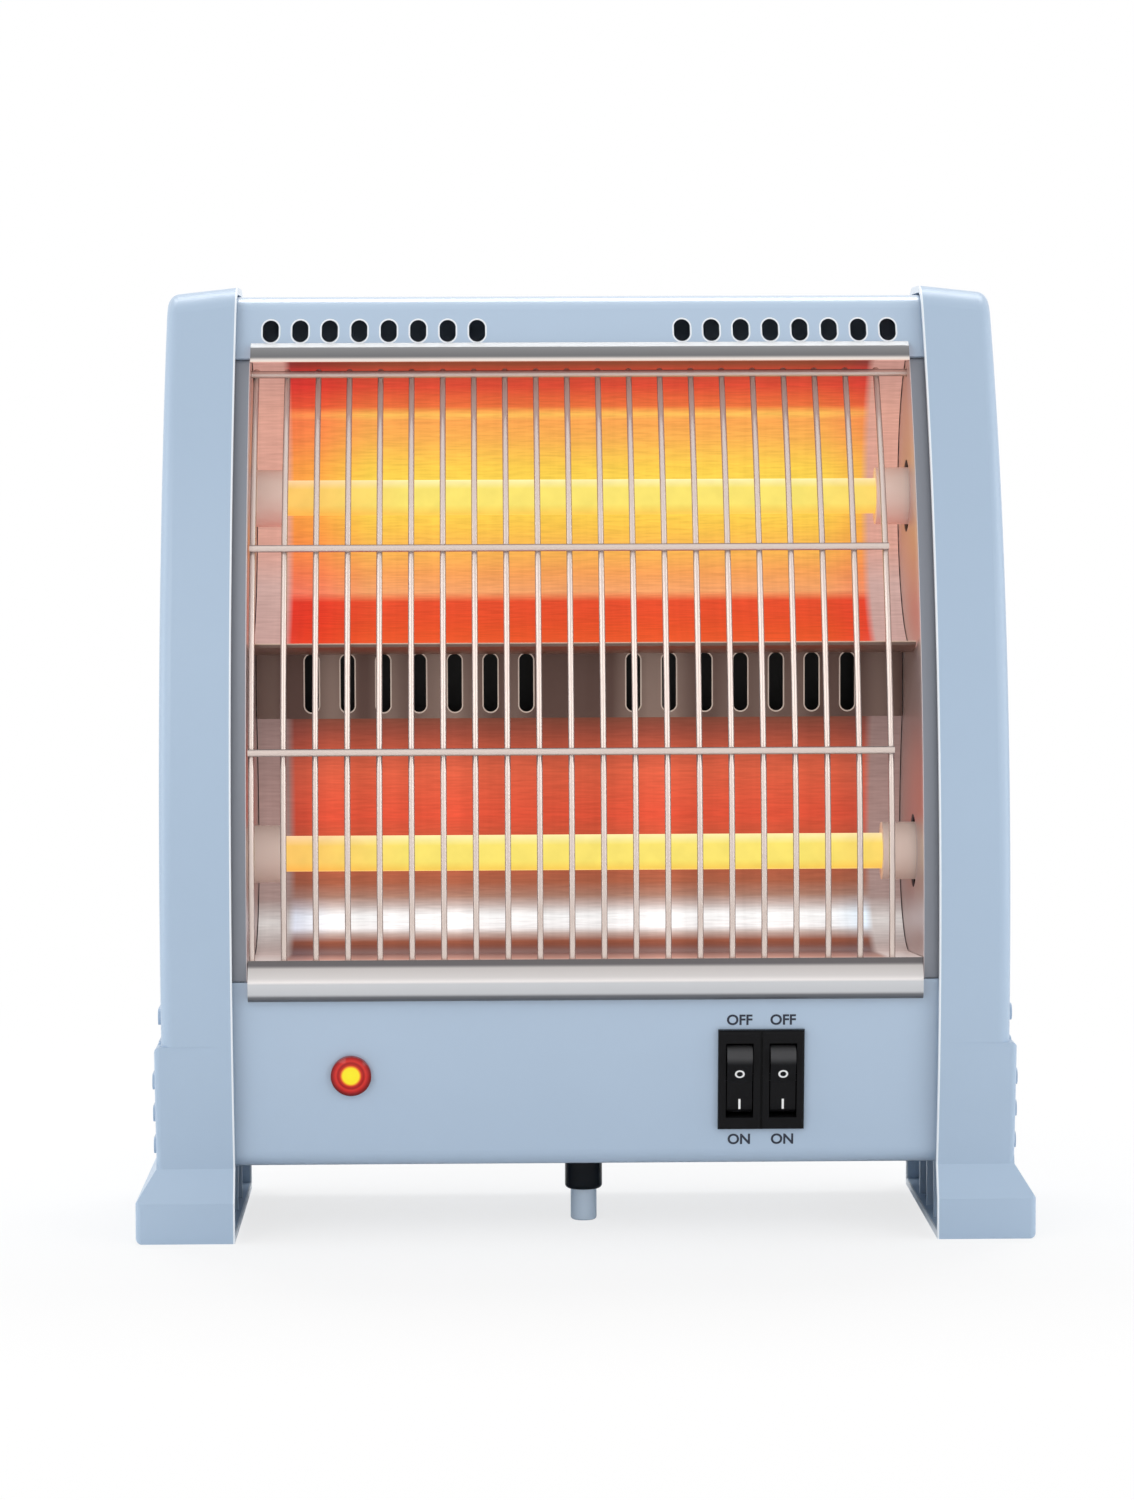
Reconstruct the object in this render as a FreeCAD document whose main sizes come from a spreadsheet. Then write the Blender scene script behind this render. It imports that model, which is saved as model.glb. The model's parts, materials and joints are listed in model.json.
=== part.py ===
import FreeCAD, Part
import math
import os
import Sketcher
from FreeCAD import Placement, Rotation, Vector

# Quartz heater with two tubes, in millimetres: +X right, +Y to the back, +Z up.
# The origin lies on the floor under the middle of the heater, and the front faces -Y.

SIZES = {
    # Whole heater
    "overall_width": 278,
    "overall_depth": 112,
    "overall_height": 295.5,
    "cut_overrun": 3,
    "fit_gap": 0.3,
    "running_play": 0.06,
    # Side panels
    "bulge_radius": 325,
    "bulge_height": 100,
    "panel_spacing": 216.8,
    "panel_width": 22.1,
    "panel_wall": 2.2,
    "panel_edge_radius": 4,
    "crown_radius": 15,
    "crown_fall": 2.4,
    "rear_corner_radius": 19,
    "toe_setback": 5.5,
    "toe_height": 12.5,
    "toe_slope_height": 10.3,
    "shoulder_height": 61.5,
    "shoulder_step": 2.1,
    "foot_edge_radius": 2,
    "grip_rib_height": 5,
    "grip_rib_pitch": 10.2,
    "grip_rib_lowest": 29.2,
    "grip_rib_proud": 1.1,
    "grip_rib_margin": 9,
    "foot_rib_thickness": 1.8,
    "foot_rib_pitch": 23,
    "foot_rib_setback": 1.5,
    "boss_radius": 4.2,
    "boss_rear_margin": 17,
    "boss_low_rise": 20,
    "boss_high_drop": 36,
    "boss_front_margin": 36,
    # Sheet metal skin
    "sheet_thickness": 0.8,
    "skin_inset": 4.5,
    "skin_lap": 3.2,
    "base_height": 22.4,
    "base_bend_radius": 6,
    "sheet_bend_radius": 2,
    "rear_lap": 13,
    "panel_top_drop": 0.3,
    "cover_front_drop": 22.8,
    "cover_rise": 1.5,
    "vent_width": 5.1,
    "vent_height": 7,
    "vent_pitch": 9.31,
    "vent_innermost": 32.4,
    "vent_drop": 14.2,
    "rear_slot_width": 5,
    "rear_slot_height": 30,
    "rear_slot_pitch": 14,
    "rear_slot_drop": 74,
    "rear_slot_row_step": 118,
    # Window frame, reflectors and vent strip
    "window_width": 208,
    "sill_height": 81.2,
    "head_drop": 24,
    "lip_inset": 1.6,
    "lip_height": 6.2,
    "lip_return": 1.4,
    "lip_roll_radius": 2.4,
    "lip_tail": 0.6,
    "trim_height": 6,
    "shelf_rise": 6.4,
    "shelf_depth": 5.8,
    "floor_rise": 3,
    "ceiling_depth": 68,
    "upper_trough_gap": 11.9,
    "mid_lip_rise": 102.8,
    "mid_lip_depth": 28,
    "mid_lip_drop": 1.2,
    "lower_trough_sag": 8.9,
    "lower_trough_lap": 1.2,
    "strip_gap": 29.9,
    "strip_rise": 76.5,
    "strip_height": 30,
    "strip_slot_width": 4.5,
    "strip_slot_height": 18.7,
    "strip_slot_pitch": 11.47,
    "strip_slot_innermost": 17.2,
    "strip_slot_rise": 2,
    # Guard grille
    "guard_radius": 262,
    "guard_depth": 7.5,
    "guard_foot_rise": 3.5,
    "guard_head_drop": 2.6,
    "guard_wire": 1.9,
    "guard_cross_wire": 2.3,
    "guard_weld": 0.3,
    "guard_pitch": 9.85,
    "guard_shift": 4,
    "guard_low_cross_rise": 70,
    "guard_mid_cross_rise": 132.2,
    # Quartz tubes, caps, brackets and terminals
    "tube_diameter": 11.2,
    "tube_wall": 1,
    "tube_length": 200,
    "upper_tube_drop": 66.9,
    "upper_tube_standoff": 28,
    "lower_tube_rise": 36.2,
    "lower_tube_standoff": 45,
    "cap_diameter": 18.1,
    "cap_reach": 10,
    "cap_hole_diameter": 23,
    "cap_flange_radius": 10.6,
    "cap_flange_thickness": 2.4,
    "bracket_standoff": 4.4,
    "bracket_thickness": 1,
    "bracket_width": 26,
    "bracket_height": 36,
    "terminal_radius": 1.9,
    "terminal_reach": 7,
    "terminal_nut_width": 7,
    "terminal_nut_thickness": 3,
    "terminal_disc_radius": 4,
    "terminal_disc_thickness": 1.5,
    "terminal_setback": 3,
    "tube_fit": 0.1,
    "cap_fit": 0.2,
    "coil_radius": 3.1,
    "coil_wire": 0.9,
    "coil_pitch": 4.4,
    "coil_tail": 4,
    # Double rocker switch
    "switch_place": 54.1,
    "switch_height": 49.7,
    "bezel_width": 26.7,
    "bezel_height": 31.8,
    "bezel_thickness": 2.2,
    "bezel_edge_radius": 1.2,
    "bezel_groove_width": 0.7,
    "bezel_groove_depth": 0.9,
    "switch_body_width": 24.6,
    "switch_body_height": 28.4,
    "switch_body_depth": 22,
    "switch_floor": 2,
    "rocker_pitch": 13.4,
    "rocker_width": 7.8,
    "rocker_half_height": 10.8,
    "rocker_pivot_depth": 1.6,
    "rocker_face_height": 3.4,
    "rocker_end_depth": 0.6,
    "rocker_edge_radius": 3,
    "rocker_skirt_half_height": 5,
    "rocker_skirt_depth": 3.4,
    "rocker_play": 0.35,
    "rocker_pin_radius": 1.1,
    "switch_tab_width": 4.8,
    "switch_tab_thickness": 0.8,
    "switch_tab_length": 8,
    "switch_tab_pitch": 8.4,
    # Indicator lamp
    "lamp_place": -72.4,
    "lamp_height": 51.6,
    "lens_diameter": 12.5,
    "lens_rim_height": 1.6,
    "lens_crown": 1.7,
    "lens_stem_diameter": 9.6,
    "lens_stem_length": 13,
    "lens_bore_diameter": 6.4,
    "lens_ring_diameter": 14,
    "lens_ring_thickness": 2.4,
    "neon_diameter": 5.4,
    "neon_length": 10,
    "neon_leg_radius": 0.4,
    "neon_leg_pitch": 2.6,
    "neon_leg_length": 9,
    # Tip-over switch
    "plunger_depth": 47.5,
    "plunger_diameter": 8.2,
    "plunger_tip_radius": 1,
    "plunger_travel": 7,
    "plunger_head_radius": 7.2,
    "plunger_head_thickness": 2.4,
    "plunger_stem_radius": 2.2,
    "plunger_stem_length": 12,
    "collar_diameter": 11.8,
    "collar_foot": 10,
    "collar_edge_radius": 1.4,
    "collar_flange_radius": 12,
    "collar_flange_thickness": 1.6,
    "tip_housing_width": 30,
    "tip_housing_depth": 22,
    "tip_housing_height": 34,
    "tip_housing_wall": 2.4,
    "tip_cavity_radius": 8,
    "bridge_length": 13.4,
    "bridge_width": 6,
    "bridge_thickness": 0.8,
    "contact_width": 5,
    "contact_thickness": 0.8,
    "contact_inset": 5.4,
    "contact_reach": 6,
    "spring_radius": 3.7,
    "spring_wire": 0.8,
    "tip_screw_pitch": 19.6,
    # Terminal block, cord gland and leads
    "block_place": -44,
    "block_depth": 92,
    "block_length": 30,
    "block_width": 16,
    "block_height": 16,
    "block_hole_radius": 2.2,
    "block_hole_depth": 8,
    "gland_place": -84,
    "gland_height": 52,
    "gland_bore_radius": 3.9,
    "gland_thread_radius": 7,
    "gland_flange_radius": 9.5,
    "gland_flange_thickness": 3,
    "gland_length": 15,
    "gland_nut_width": 19,
    "gland_nut_thickness": 4.5,
    "lead_diameter": 2.4,
    "lead_bend_radius": 7,
    "lead_hole_radius": 6,
    "lead_hole_depth": 84,
    "lead_hole_height": 52,
    "lead_pitch": 4.4,
    "lead_run": 14,
    "lead_sweep": 30,
    "lead_exit": 12,
    # Screws
    "screw_radius": 1.45,
    "screw_length": 11,
    "screw_head_radius": 3,
    "screw_head_thickness": 2,
    "rear_screw_length": 5,
    "rear_screw_pitch": 88,
    "rear_screw_margin": 6.5,
}

VENTS_PER_SIDE = 8
STRIP_SLOTS_PER_SIDE = 7
REAR_SLOTS_PER_SIDE = 6
REAR_SLOT_ROWS = 2
GRIP_RIBS = 5
FOOT_RIBS = 3
GUARD_WIRES = 21
COIL_TURNS = 40
COIL_TAIL_TURN_SHARE = 0.2
SPRING_TURNS = 9
ROCKER_TILT = 10

doc = FreeCAD.newDocument("QuartzHeater")
sheet = doc.addObject("Spreadsheet::Sheet", "Sizes")
for row, (alias, value) in enumerate(SIZES.items(), start=1):
    sheet.set(f"A{row}", alias)
    sheet.set(f"B{row}", str(value))
    sheet.setAlias(f"B{row}", alias)
places = doc.addObject("Spreadsheet::Sheet", "Places")
doc.recompute()


class Size:
    """A length, held both as a number and as the sheet expression that gives it."""

    def __init__(self, number, text):
        self.number = number
        self.text = text

    def __add__(self, other):
        other = sized(other)
        return Size(self.number + other.number, f"({self.text} + {other.text})")

    def __sub__(self, other):
        other = sized(other)
        return Size(self.number - other.number, f"({self.text} - {other.text})")

    def __mul__(self, other):
        other = sized(other)
        return Size(self.number * other.number, f"({self.text} * {other.text})")

    def __truediv__(self, other):
        other = sized(other)
        return Size(self.number / other.number, f"({self.text} / {other.text})")

    def __neg__(self):
        return Size(-self.number, f"(-{self.text})")

    __radd__ = __add__
    __rmul__ = __mul__


def sized(value):
    return value if isinstance(value, Size) else Size(value, repr(value))


def square(value):
    return value * value


def root(value):
    return Size(math.sqrt(value.number), f"sqrt({value.text})")


class Cells:
    """Each cell of the sheet by its alias."""

    def __getattr__(self, alias):
        return Size(float(sheet.get(alias)), f"Sizes.{alias}")


S = Cells()
ZERO = sized(0)
TOUCH = 1e-6
place_rows = []


def place(alias, value):
    """Keeps a worked-out place in the second sheet under a name of its own."""
    place_rows.append(alias)
    cell = f"B{len(place_rows)}"
    places.set(cell, "=" + value.text)
    places.setAlias(cell, alias)
    return Size(value.number, f"Places.{alias}")


# Building blocks

def bind(obj, prop, value):
    value = sized(value)
    obj.setExpression(prop, value.text)


def put(obj, at):
    for axis, value in zip("xyz", at):
        bind(obj, f"Placement.Base.{axis}", value)
    return obj


def box(name, low, high):
    """A block between its lowest and highest corners."""
    block = doc.addObject("Part::Box", name)
    for prop, start, end in zip(("Length", "Width", "Height"), low, high):
        bind(block, prop, end - start)
    return put(block, low)


TURNS = {"X": Rotation(Vector(0, 1, 0), 90), "Y": Rotation(Vector(1, 0, 0), -90), "Z": Rotation()}


def rod(name, axis, radius, start, end, centre):
    """A round bar along an axis from start to end, with its centre line at the two other coordinates."""
    bar = doc.addObject("Part::Cylinder", name)
    bind(bar, "Radius", radius)
    bind(bar, "Height", end - start)
    bar.Placement = Placement(Vector(), TURNS[axis])
    at = list(centre)
    at.insert("XYZ".index(axis), start)
    return put(bar, at)


def fuse(name, pieces):
    joined = doc.addObject("Part::MultiFuse", name)
    joined.Shapes = pieces
    return joined


def cut(name, base, tools):
    trimmed = doc.addObject("Part::Cut", name)
    trimmed.Base = base
    trimmed.Tool = tools[0] if len(tools) == 1 else fuse(name + "_tools", tools)
    return trimmed


def mirrored(name, source):
    """The same piece for the left side."""
    twin = doc.addObject("Part::Mirroring", name)
    twin.Source = source
    twin.Normal = Vector(1, 0, 0)
    return twin


def draw(sketch, outline, closed=True):
    """Draws lines and arcs from corner to corner, each corner held at its bound place.

    A corner is (u, v), or (u, v, radius) where an arc comes in to it, with the centre of the arc on the
    right of the way for a positive radius and on the left for a negative one.
    """
    corners = [tuple(sized(value) for value in corner) for corner in outline]
    spans = list(zip(corners, corners[1:] + corners[:1])) if closed else list(zip(corners, corners[1:]))
    ends = []
    holds = []
    for start, end in spans:
        a = Vector(start[0].number, start[1].number, 0)
        b = Vector(end[0].number, end[1].number, 0)
        if len(end) == 2:
            edge = sketch.addGeometry(Part.LineSegment(a, b), False)
            ends.append((edge, 1, 2))
            continue
        radius = abs(end[2].number)
        half = (b - a) / 2
        rise = math.sqrt(max(radius * radius - half.Length * half.Length, 0))
        right = Vector(half.y, -half.x, 0).normalize()
        clockwise = end[2].number > 0
        centre = a + half + right * (rise if clockwise else -rise)
        first, last = (b, a) if clockwise else (a, b)
        low = math.atan2(first.y - centre.y, first.x - centre.x)
        high = math.atan2(last.y - centre.y, last.x - centre.x)
        if high < low:
            high += 2 * math.pi
        circle = Part.Circle(centre, Vector(0, 0, 1), radius)
        edge = sketch.addGeometry(Part.ArcOfCircle(circle, low, high), False)
        ends.append((edge, 2, 1) if clockwise else (edge, 1, 2))
        holds.append((Sketcher.Constraint("Radius", edge, radius), end[2] if clockwise else -end[2]))
    points = [(edge, start) for edge, start, _ in ends]
    if not closed:
        points.append((ends[-1][0], ends[-1][2]))
    for (edge, point), corner in zip(points, corners):
        for kind, value in zip(("DistanceX", "DistanceY"), corner):
            holds.append((Sketcher.Constraint(kind, -1, 1, edge, point, value.number), value))
    followers = ends[1:] + ends[:1] if closed else ends[1:]
    joins = [Sketcher.Constraint("Coincident", edge, end, follower, start)
             for (edge, _, end), (follower, start, _) in zip(ends, followers)]
    first_hold = sketch.ConstraintCount
    sketch.addConstraint([hold for hold, _ in holds] + joins)
    for index, (_, value) in enumerate(holds, start=first_hold):
        bind(sketch, f"Constraints[{index}]", value)


def prism(name, plane, outlines, start, end, rim=None):
    """A padded outline, from start to end along the normal of its plane: X for YZ_Plane, -Y for XZ_Plane.

    rim is (radius, test): the edges that pass the test are rounded.
    """
    body = doc.addObject("PartDesign::Body", name)
    sketch = body.newObject("Sketcher::SketchObject", name + "_outline")
    origin = {feature.Role: feature for feature in body.Origin.OriginFeatures}
    sketch.AttachmentSupport = [(origin[plane], "")]
    sketch.MapMode = "FlatFace"
    bind(sketch, "AttachmentOffset.Base.z", start)
    for outline in outlines:
        draw(sketch, outline)
    pad = body.newObject("PartDesign::Pad", name + "_pad")
    pad.Profile = sketch
    bind(pad, "Length", end - start)
    if rim:
        doc.recompute()
        return rounded(name + "_rounded", body, *rim)
    return body


def rounded(name, body, radius, test):
    """A body with a rounding along the edges that pass a test."""
    edges = [edge for edge in body.Shape.Edges if test(edge)]
    return solid_feature(name, body.Shape.makeFillet(radius.number, edges))


LEFT, RIGHT = 1, -1


def bent_sheet(name, path, side, start, end):
    """A sheet bent along a path in the YZ plane, with its thickness on the left or the right of the way."""
    line = doc.addObject("Sketcher::SketchObject", name + "_path")
    line.Placement = Placement(Vector(), Rotation(Vector(1, 1, 1), 120))
    draw(line, path, closed=False)
    section = doc.addObject("Part::Offset2D", name + "_section")
    section.Source = line
    section.Mode = "Skin"
    section.Join = "Intersection"
    section.Fill = True
    bind(section, "Value", S.sheet_thickness)
    bent = doc.addObject("Part::Extrusion", name)
    bent.Base = section
    bent.DirMode = "Custom"
    bent.Dir = Vector(1, 0, 0)
    bent.Solid = True
    bind(bent, "LengthFwd", end - start)
    bind(bent, "Placement.Base.x", start)
    doc.recompute()
    before, after = (Vector(0, corner[0].number, corner[1].number) for corner in path[-2:])
    way = (after - before).normalize()
    left = Vector(0, -way.z, way.y)
    within = (before + after) / 2 + left * (S.sheet_thickness.number / 2 * side)
    if bent.Shape.isNull() or not bent.Shape.isInside(within, TOUCH, True):
        bind(section, "Value", -S.sheet_thickness)
    return bent


# A slot's round end as a share of half its width: the radius of the arc and how far it stands out.
SLOT_ROUND_SHARE = 1.02
SLOT_END_SHARE = 0.82


def slot(centre_u, centre_v, width, height):
    """The outline of an upright slot with round ends."""
    half = width / 2
    bend = half * SLOT_ROUND_SHARE
    shoulder = height / 2 - half * SLOT_END_SHARE
    return [
        (centre_u - half, centre_v - shoulder, bend),
        (centre_u - half, centre_v + shoulder),
        (centre_u + half, centre_v + shoulder, bend),
        (centre_u + half, centre_v - shoulder),
    ]


def rectangle(width, height):
    across, up = width / 2, height / 2
    return [(-across, -up), (-across, up), (across, up), (across, -up)]


nodes = []


def node(name, obj):
    """Names a finished sub-part."""
    obj.Label = name
    nodes.append(obj)
    return obj


def turned(name, outline):
    """A turned piece: an outline of radius and height, carried once round the Z axis."""
    body = doc.addObject("PartDesign::Body", name)
    sketch = body.newObject("Sketcher::SketchObject", name + "_outline")
    origin = {feature.Role: feature for feature in body.Origin.OriginFeatures}
    sketch.AttachmentSupport = [(origin["XZ_Plane"], "")]
    sketch.MapMode = "FlatFace"
    draw(sketch, outline)
    spun = body.newObject("PartDesign::Revolution", name + "_spun")
    spun.Profile = sketch
    spun.ReferenceAxis = (sketch, ["V_Axis"])
    spun.Angle = 360
    return body


def hexagon(width):
    """The outline of a six-sided nut of a given width across its flats."""
    corner = width / math.sqrt(3)
    turns = [math.radians(60 * side) for side in range(6)]
    return [(corner * -math.cos(turn), corner * math.sin(turn)) for turn in turns]


def solid_feature(name, shape):
    feature = doc.addObject("Part::Feature", name)
    feature.Shape = shape
    return feature


# Wires: tubes swept along straight runs and arcs

def biarc(start, start_way, end, end_way):
    """Two arcs that leave start and reach end in the given directions."""
    span = end - start
    along = span.dot(start_way + end_way)
    bend = 2 * (1 - start_way.dot(end_way))
    reach = (math.sqrt(along * along + bend * span.dot(span)) - along) / bend
    middle = (start + end + (start_way - end_way) * reach) / 2
    return [arc_from(start, start_way, middle), arc_from(end, -end_way, middle)]


def arc_from(start, way, end):
    """The arc that leaves start in a direction and ends at a point."""
    chord = end - start
    unit = chord / chord.Length
    side = way - unit * way.dot(unit)
    angle = unit.getAngle(way)
    top = start + chord / 2 + side.normalize() * (chord.Length / 2 * math.tan(angle / 2))
    return Part.Arc(start, top, end)


def swept(edges, start, way, radius):
    """A round wire along a chain of edges that starts at a point in a direction."""
    path = Part.Wire(Part.__sortEdges__([edge.toShape() for edge in edges]))
    ring = Part.Wire(Part.makeCircle(radius, start, way))
    return path.makePipeShell([ring], True, False)


def helix_point(axis_start, axis, side, radius, pitch, turns):
    """A point of a helix after a number of turns, with the direction of the wire there."""
    angle = 2 * math.pi * turns
    other = axis.cross(side)
    out = side * math.cos(angle) + other * math.sin(angle)
    round_way = other * math.cos(angle) - side * math.sin(angle)
    point = axis_start + axis * (pitch * turns) + out * radius
    return point, (round_way * (2 * math.pi * radius) + axis * pitch).normalize()


def helix_edges(axis_start, axis, side, radius, pitch, turns):
    edges = []
    for quarter in range(4 * turns):
        near = helix_point(axis_start, axis, side, radius, pitch, quarter / 4)
        far = helix_point(axis_start, axis, side, radius, pitch, (quarter + 1) / 4)
        edges.extend(biarc(*near, *far))
    return edges


GAP_SAMPLES = 720


def helix_gap(radius, pitch, wire):
    """The least gap between one turn of a helix and the next, measured on points."""
    helix = (Vector(), Vector(0, 0, 1), Vector(1, 0, 0), radius, pitch)
    home, _ = helix_point(*helix, 0)
    turns = [0.5 + step / GAP_SAMPLES for step in range(GAP_SAMPLES + 1)]
    return min((helix_point(*helix, turn)[0] - home).Length for turn in turns) - wire


def routed(points, radius, bend):
    """A round lead along straight runs, with an arc at each turn."""
    corners = [Vector(*point) for point in points]
    edges = []
    last = corners[0]
    for before, here, after in zip(corners, corners[1:], corners[2:]):
        into = (here - before).normalize()
        out = (after - here).normalize()
        trim = bend * math.tan(into.getAngle(out) / 2)
        first, second = here - into * trim, here + out * trim
        edges.append(Part.LineSegment(last, first))
        edges.append(arc_from(first, into, second))
        last = second
    edges.append(Part.LineSegment(last, corners[-1]))
    return swept(edges, corners[0], (corners[1] - corners[0]).normalize(), radius)


# Places that several pieces share

front = -S.overall_depth / 2
rear = S.overall_depth / 2
half_spacing = S.panel_spacing / 2
panel_outer = half_spacing + S.panel_width
lower_outer = panel_outer + S.shoulder_step
foot_outer = S.overall_width / 2
toe_front = front + S.toe_setback
slope_top = S.toe_height + S.toe_slope_height
arc_centre = place("front_arc_centre", front + S.bulge_radius)


def crown_at(fall):
    """The centre of the crown's rounding, where the top lies some way below the full height."""
    height = S.overall_height - S.crown_radius - fall
    reach = root(square(S.bulge_radius - S.crown_radius) - square(height - S.bulge_height))
    return arc_centre - reach, height


crown_centre = place("crown_centre", crown_at(ZERO)[0])
plate_inner = S.window_width / 2
plate_outer = plate_inner + S.sheet_thickness
plate_inset = S.skin_inset + S.sheet_thickness + S.fit_gap
skin_end = half_spacing + S.skin_lap
rear_skin = rear - S.skin_inset
rear_panel_outer = rear_skin - S.sheet_thickness
rear_panel_inner = rear_panel_outer - S.sheet_thickness
base_top = S.base_height + S.sheet_thickness
head = place("head_height", S.overall_height - S.head_drop)
reflector_end = plate_inner - S.fit_gap


def front_at(height, inset):
    """How far back the bowed front stands at a height, for a skin set in by an inset."""
    return arc_centre - root(square(S.bulge_radius - inset) - square(height - S.bulge_height))


def over_the_top(inset, fall=ZERO):
    """The crown, the flat top and the rear corner of a skin set in by an inset."""
    top = S.overall_height - fall
    centre_y, centre_z = crown_at(fall)
    reach = (S.bulge_radius - inset) / (S.bulge_radius - S.crown_radius)
    return [
        (arc_centre + (centre_y - arc_centre) * reach,
         S.bulge_height + (centre_z - S.bulge_height) * reach, S.bulge_radius - inset),
        (centre_y, top - inset, S.crown_radius - inset),
        (rear - S.rear_corner_radius, top - inset),
        (rear - inset, top - S.rear_corner_radius, S.rear_corner_radius - inset),
    ]


def toe(inset):
    """The foot's toe and the slope above it."""
    return [
        (toe_front + inset, sized(inset)),
        (toe_front + inset, S.toe_height),
        (front_at(slope_top, inset), slope_top),
    ]


def lower_block(inset, top):
    """The side view of a panel below a height."""
    return toe(inset) + [
        (front_at(top, inset), top, S.bulge_radius - inset),
        (rear - inset, top),
        (rear - inset, sized(inset)),
    ]


# The control panel leans: its top stands further forward than its foot.
panel_foot = place("panel_foot", front_at(S.base_height, S.skin_inset))
panel_rise = S.sill_height - S.base_height
lean = place("panel_lean", (panel_foot - front_at(S.sill_height, S.skin_inset)) / panel_rise)
stretch = place("panel_stretch", root(square(lean) + 1))


def on_panel(height):
    return panel_foot - lean * (height - S.base_height)


def on_control_panel(obj, across, height, depth=ZERO, turn=0):
    """Stands a piece on the leaning control panel, some way in from its face and turned about X."""
    leaning = turn + math.degrees(math.atan(lean.number))
    obj.Placement = Placement(Vector(), Rotation(Vector(1, 0, 0), leaning))
    obj.setExpression("Placement.Rotation.Angle", f"atan({lean.text}) + ({turn}) * 1 deg")
    return put(obj, (across, on_panel(height) + depth / stretch, height + depth * lean / stretch))


# Side panels: moulded shells, each with a flared foot, a shoulder and grip ribs

def rim_of(face, low, high):
    """Finds the edges of an outer face that lie between two heights."""
    def test(edge):
        on_face = all(abs(vertex.X - face.number) < TOUCH for vertex in edge.Vertexes)
        return on_face and low.number - TOUCH < edge.CenterOfMass.z < high.number + TOUCH
    return test


def upper_side(inset):
    """The side view of a panel above its shoulder."""
    shoulder = [(front_at(S.shoulder_height, inset), S.shoulder_height)]
    return shoulder + over_the_top(inset) + [(rear - inset, S.shoulder_height)]


boss_rear = rear - S.boss_rear_margin
boss_low = S.base_height + S.boss_low_rise
boss_high = S.overall_height - S.boss_high_drop
boss_places = [
    (boss_rear, boss_low),
    (boss_rear, (boss_low + boss_high) / 2),
    (boss_rear, boss_high),
    (front + S.boss_front_margin, boss_low),
]
screw_hole = S.screw_radius + S.running_play

SHOULDER_ROUND_SHARE = 0.9
above_shoulder = S.shoulder_height + S.panel_edge_radius
upper_block = prism("panel_block", "YZ_Plane", [upper_side(ZERO)], half_spacing, panel_outer)
upper_block.Tip.UseCustomVector = True
upper_block.Tip.Direction = Vector(1, 0, -S.crown_fall.number / S.panel_width.number)
doc.recompute()
upper_rounded = rounded("panel_block_rounded", upper_block, S.panel_edge_radius,
                        rim_of(panel_outer, above_shoulder, S.overall_height))
below_shoulder = box("panel_below_shoulder",
                     (half_spacing - S.cut_overrun, front - S.cut_overrun, ZERO),
                     (foot_outer, rear + S.cut_overrun, S.shoulder_height))
upper_shell = cut("panel_shell", upper_rounded, [below_shoulder])
lower_shell = prism("panel_foot_block", "YZ_Plane", [lower_block(ZERO, S.shoulder_height)],
                    half_spacing, lower_outer,
                    (S.shoulder_step * SHOULDER_ROUND_SHARE,
                     rim_of(lower_outer, slope_top, S.shoulder_height)))
flare = prism("panel_flare", "YZ_Plane", [toe(ZERO) + [(rear, slope_top), (rear, ZERO)]],
              half_spacing, foot_outer,
              (S.foot_edge_radius, rim_of(foot_outer, ZERO, slope_top / 2)))
flare_slope = prism("panel_flare_slope", "XZ_Plane",
                    [[(lower_outer, slope_top), (foot_outer, slope_top), (foot_outer, S.toe_height)]],
                    -rear - S.cut_overrun, -front + S.cut_overrun)
grips = []
for rib in range(GRIP_RIBS):
    rib_height = S.grip_rib_lowest + S.grip_rib_pitch * rib
    half = S.grip_rib_height / 2
    on_step = rib_height.number + half.number < S.shoulder_height.number
    face = lower_outer if on_step else panel_outer
    rib_front = front_at(rib_height, ZERO) + S.grip_rib_margin
    rib_rear = rear - S.grip_rib_margin
    bulge = half * SLOT_ROUND_SHARE
    grip_outline = [
        (rib_front, rib_height - half),
        (rib_front, rib_height + half, bulge),
        (rib_rear, rib_height + half),
        (rib_rear, rib_height - half, bulge),
    ]
    grips.append(prism(f"panel_grip_{rib}", "YZ_Plane", [grip_outline],
                       half_spacing + S.panel_wall, face + S.grip_rib_proud))
flare_trimmed = cut("panel_flare_trimmed", flare, [flare_slope])
panel_solid = fuse("panel_solid", [upper_shell, lower_shell, flare_trimmed] + grips)

through = S.cut_overrun
hollow_foot = [(rear - S.panel_wall, S.panel_wall)]
upper_hollow = prism("panel_hollow", "YZ_Plane",
                     [toe(S.panel_wall) + over_the_top(S.panel_wall, S.crown_fall) + hollow_foot],
                     half_spacing - through, panel_outer - S.panel_wall)
mouth_hollow = prism("panel_mouth", "YZ_Plane",
                     [toe(S.panel_wall) + over_the_top(S.panel_wall) + hollow_foot],
                     half_spacing - through, skin_end + S.panel_wall)
lower_hollow = prism("panel_foot_hollow", "YZ_Plane",
                     [lower_block(S.panel_wall, S.shoulder_height - S.panel_wall)],
                     half_spacing - through, lower_outer - S.panel_wall)
flare_hollow = box("panel_flare_hollow",
                   (half_spacing - through, toe_front + S.panel_wall, S.panel_wall),
                   (foot_outer - S.panel_wall, rear - S.panel_wall, S.toe_height - S.panel_wall))
panel_open = cut("panel_open", panel_solid, [upper_hollow, mouth_hollow, lower_hollow, flare_hollow])
foot_ribs = []
for rib in range(FOOT_RIBS):
    rib_middle = S.foot_rib_pitch * (rib - (FOOT_RIBS - 1) / 2)
    rib_half = S.foot_rib_thickness / 2
    foot_ribs.append(box(f"panel_foot_rib_{rib}",
                         (half_spacing + S.foot_rib_setback, rib_middle - rib_half, S.panel_wall / 2),
                         (lower_outer - S.panel_wall / 2, rib_middle + rib_half, S.base_height)))
boss_faces = [lower_outer, panel_outer, panel_outer, lower_outer]
bosses = [rod(f"panel_boss_{spot}", "X", S.boss_radius, plate_outer, face - S.panel_wall / 2, at)
          for spot, (face, at) in enumerate(zip(boss_faces, boss_places))]
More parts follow.
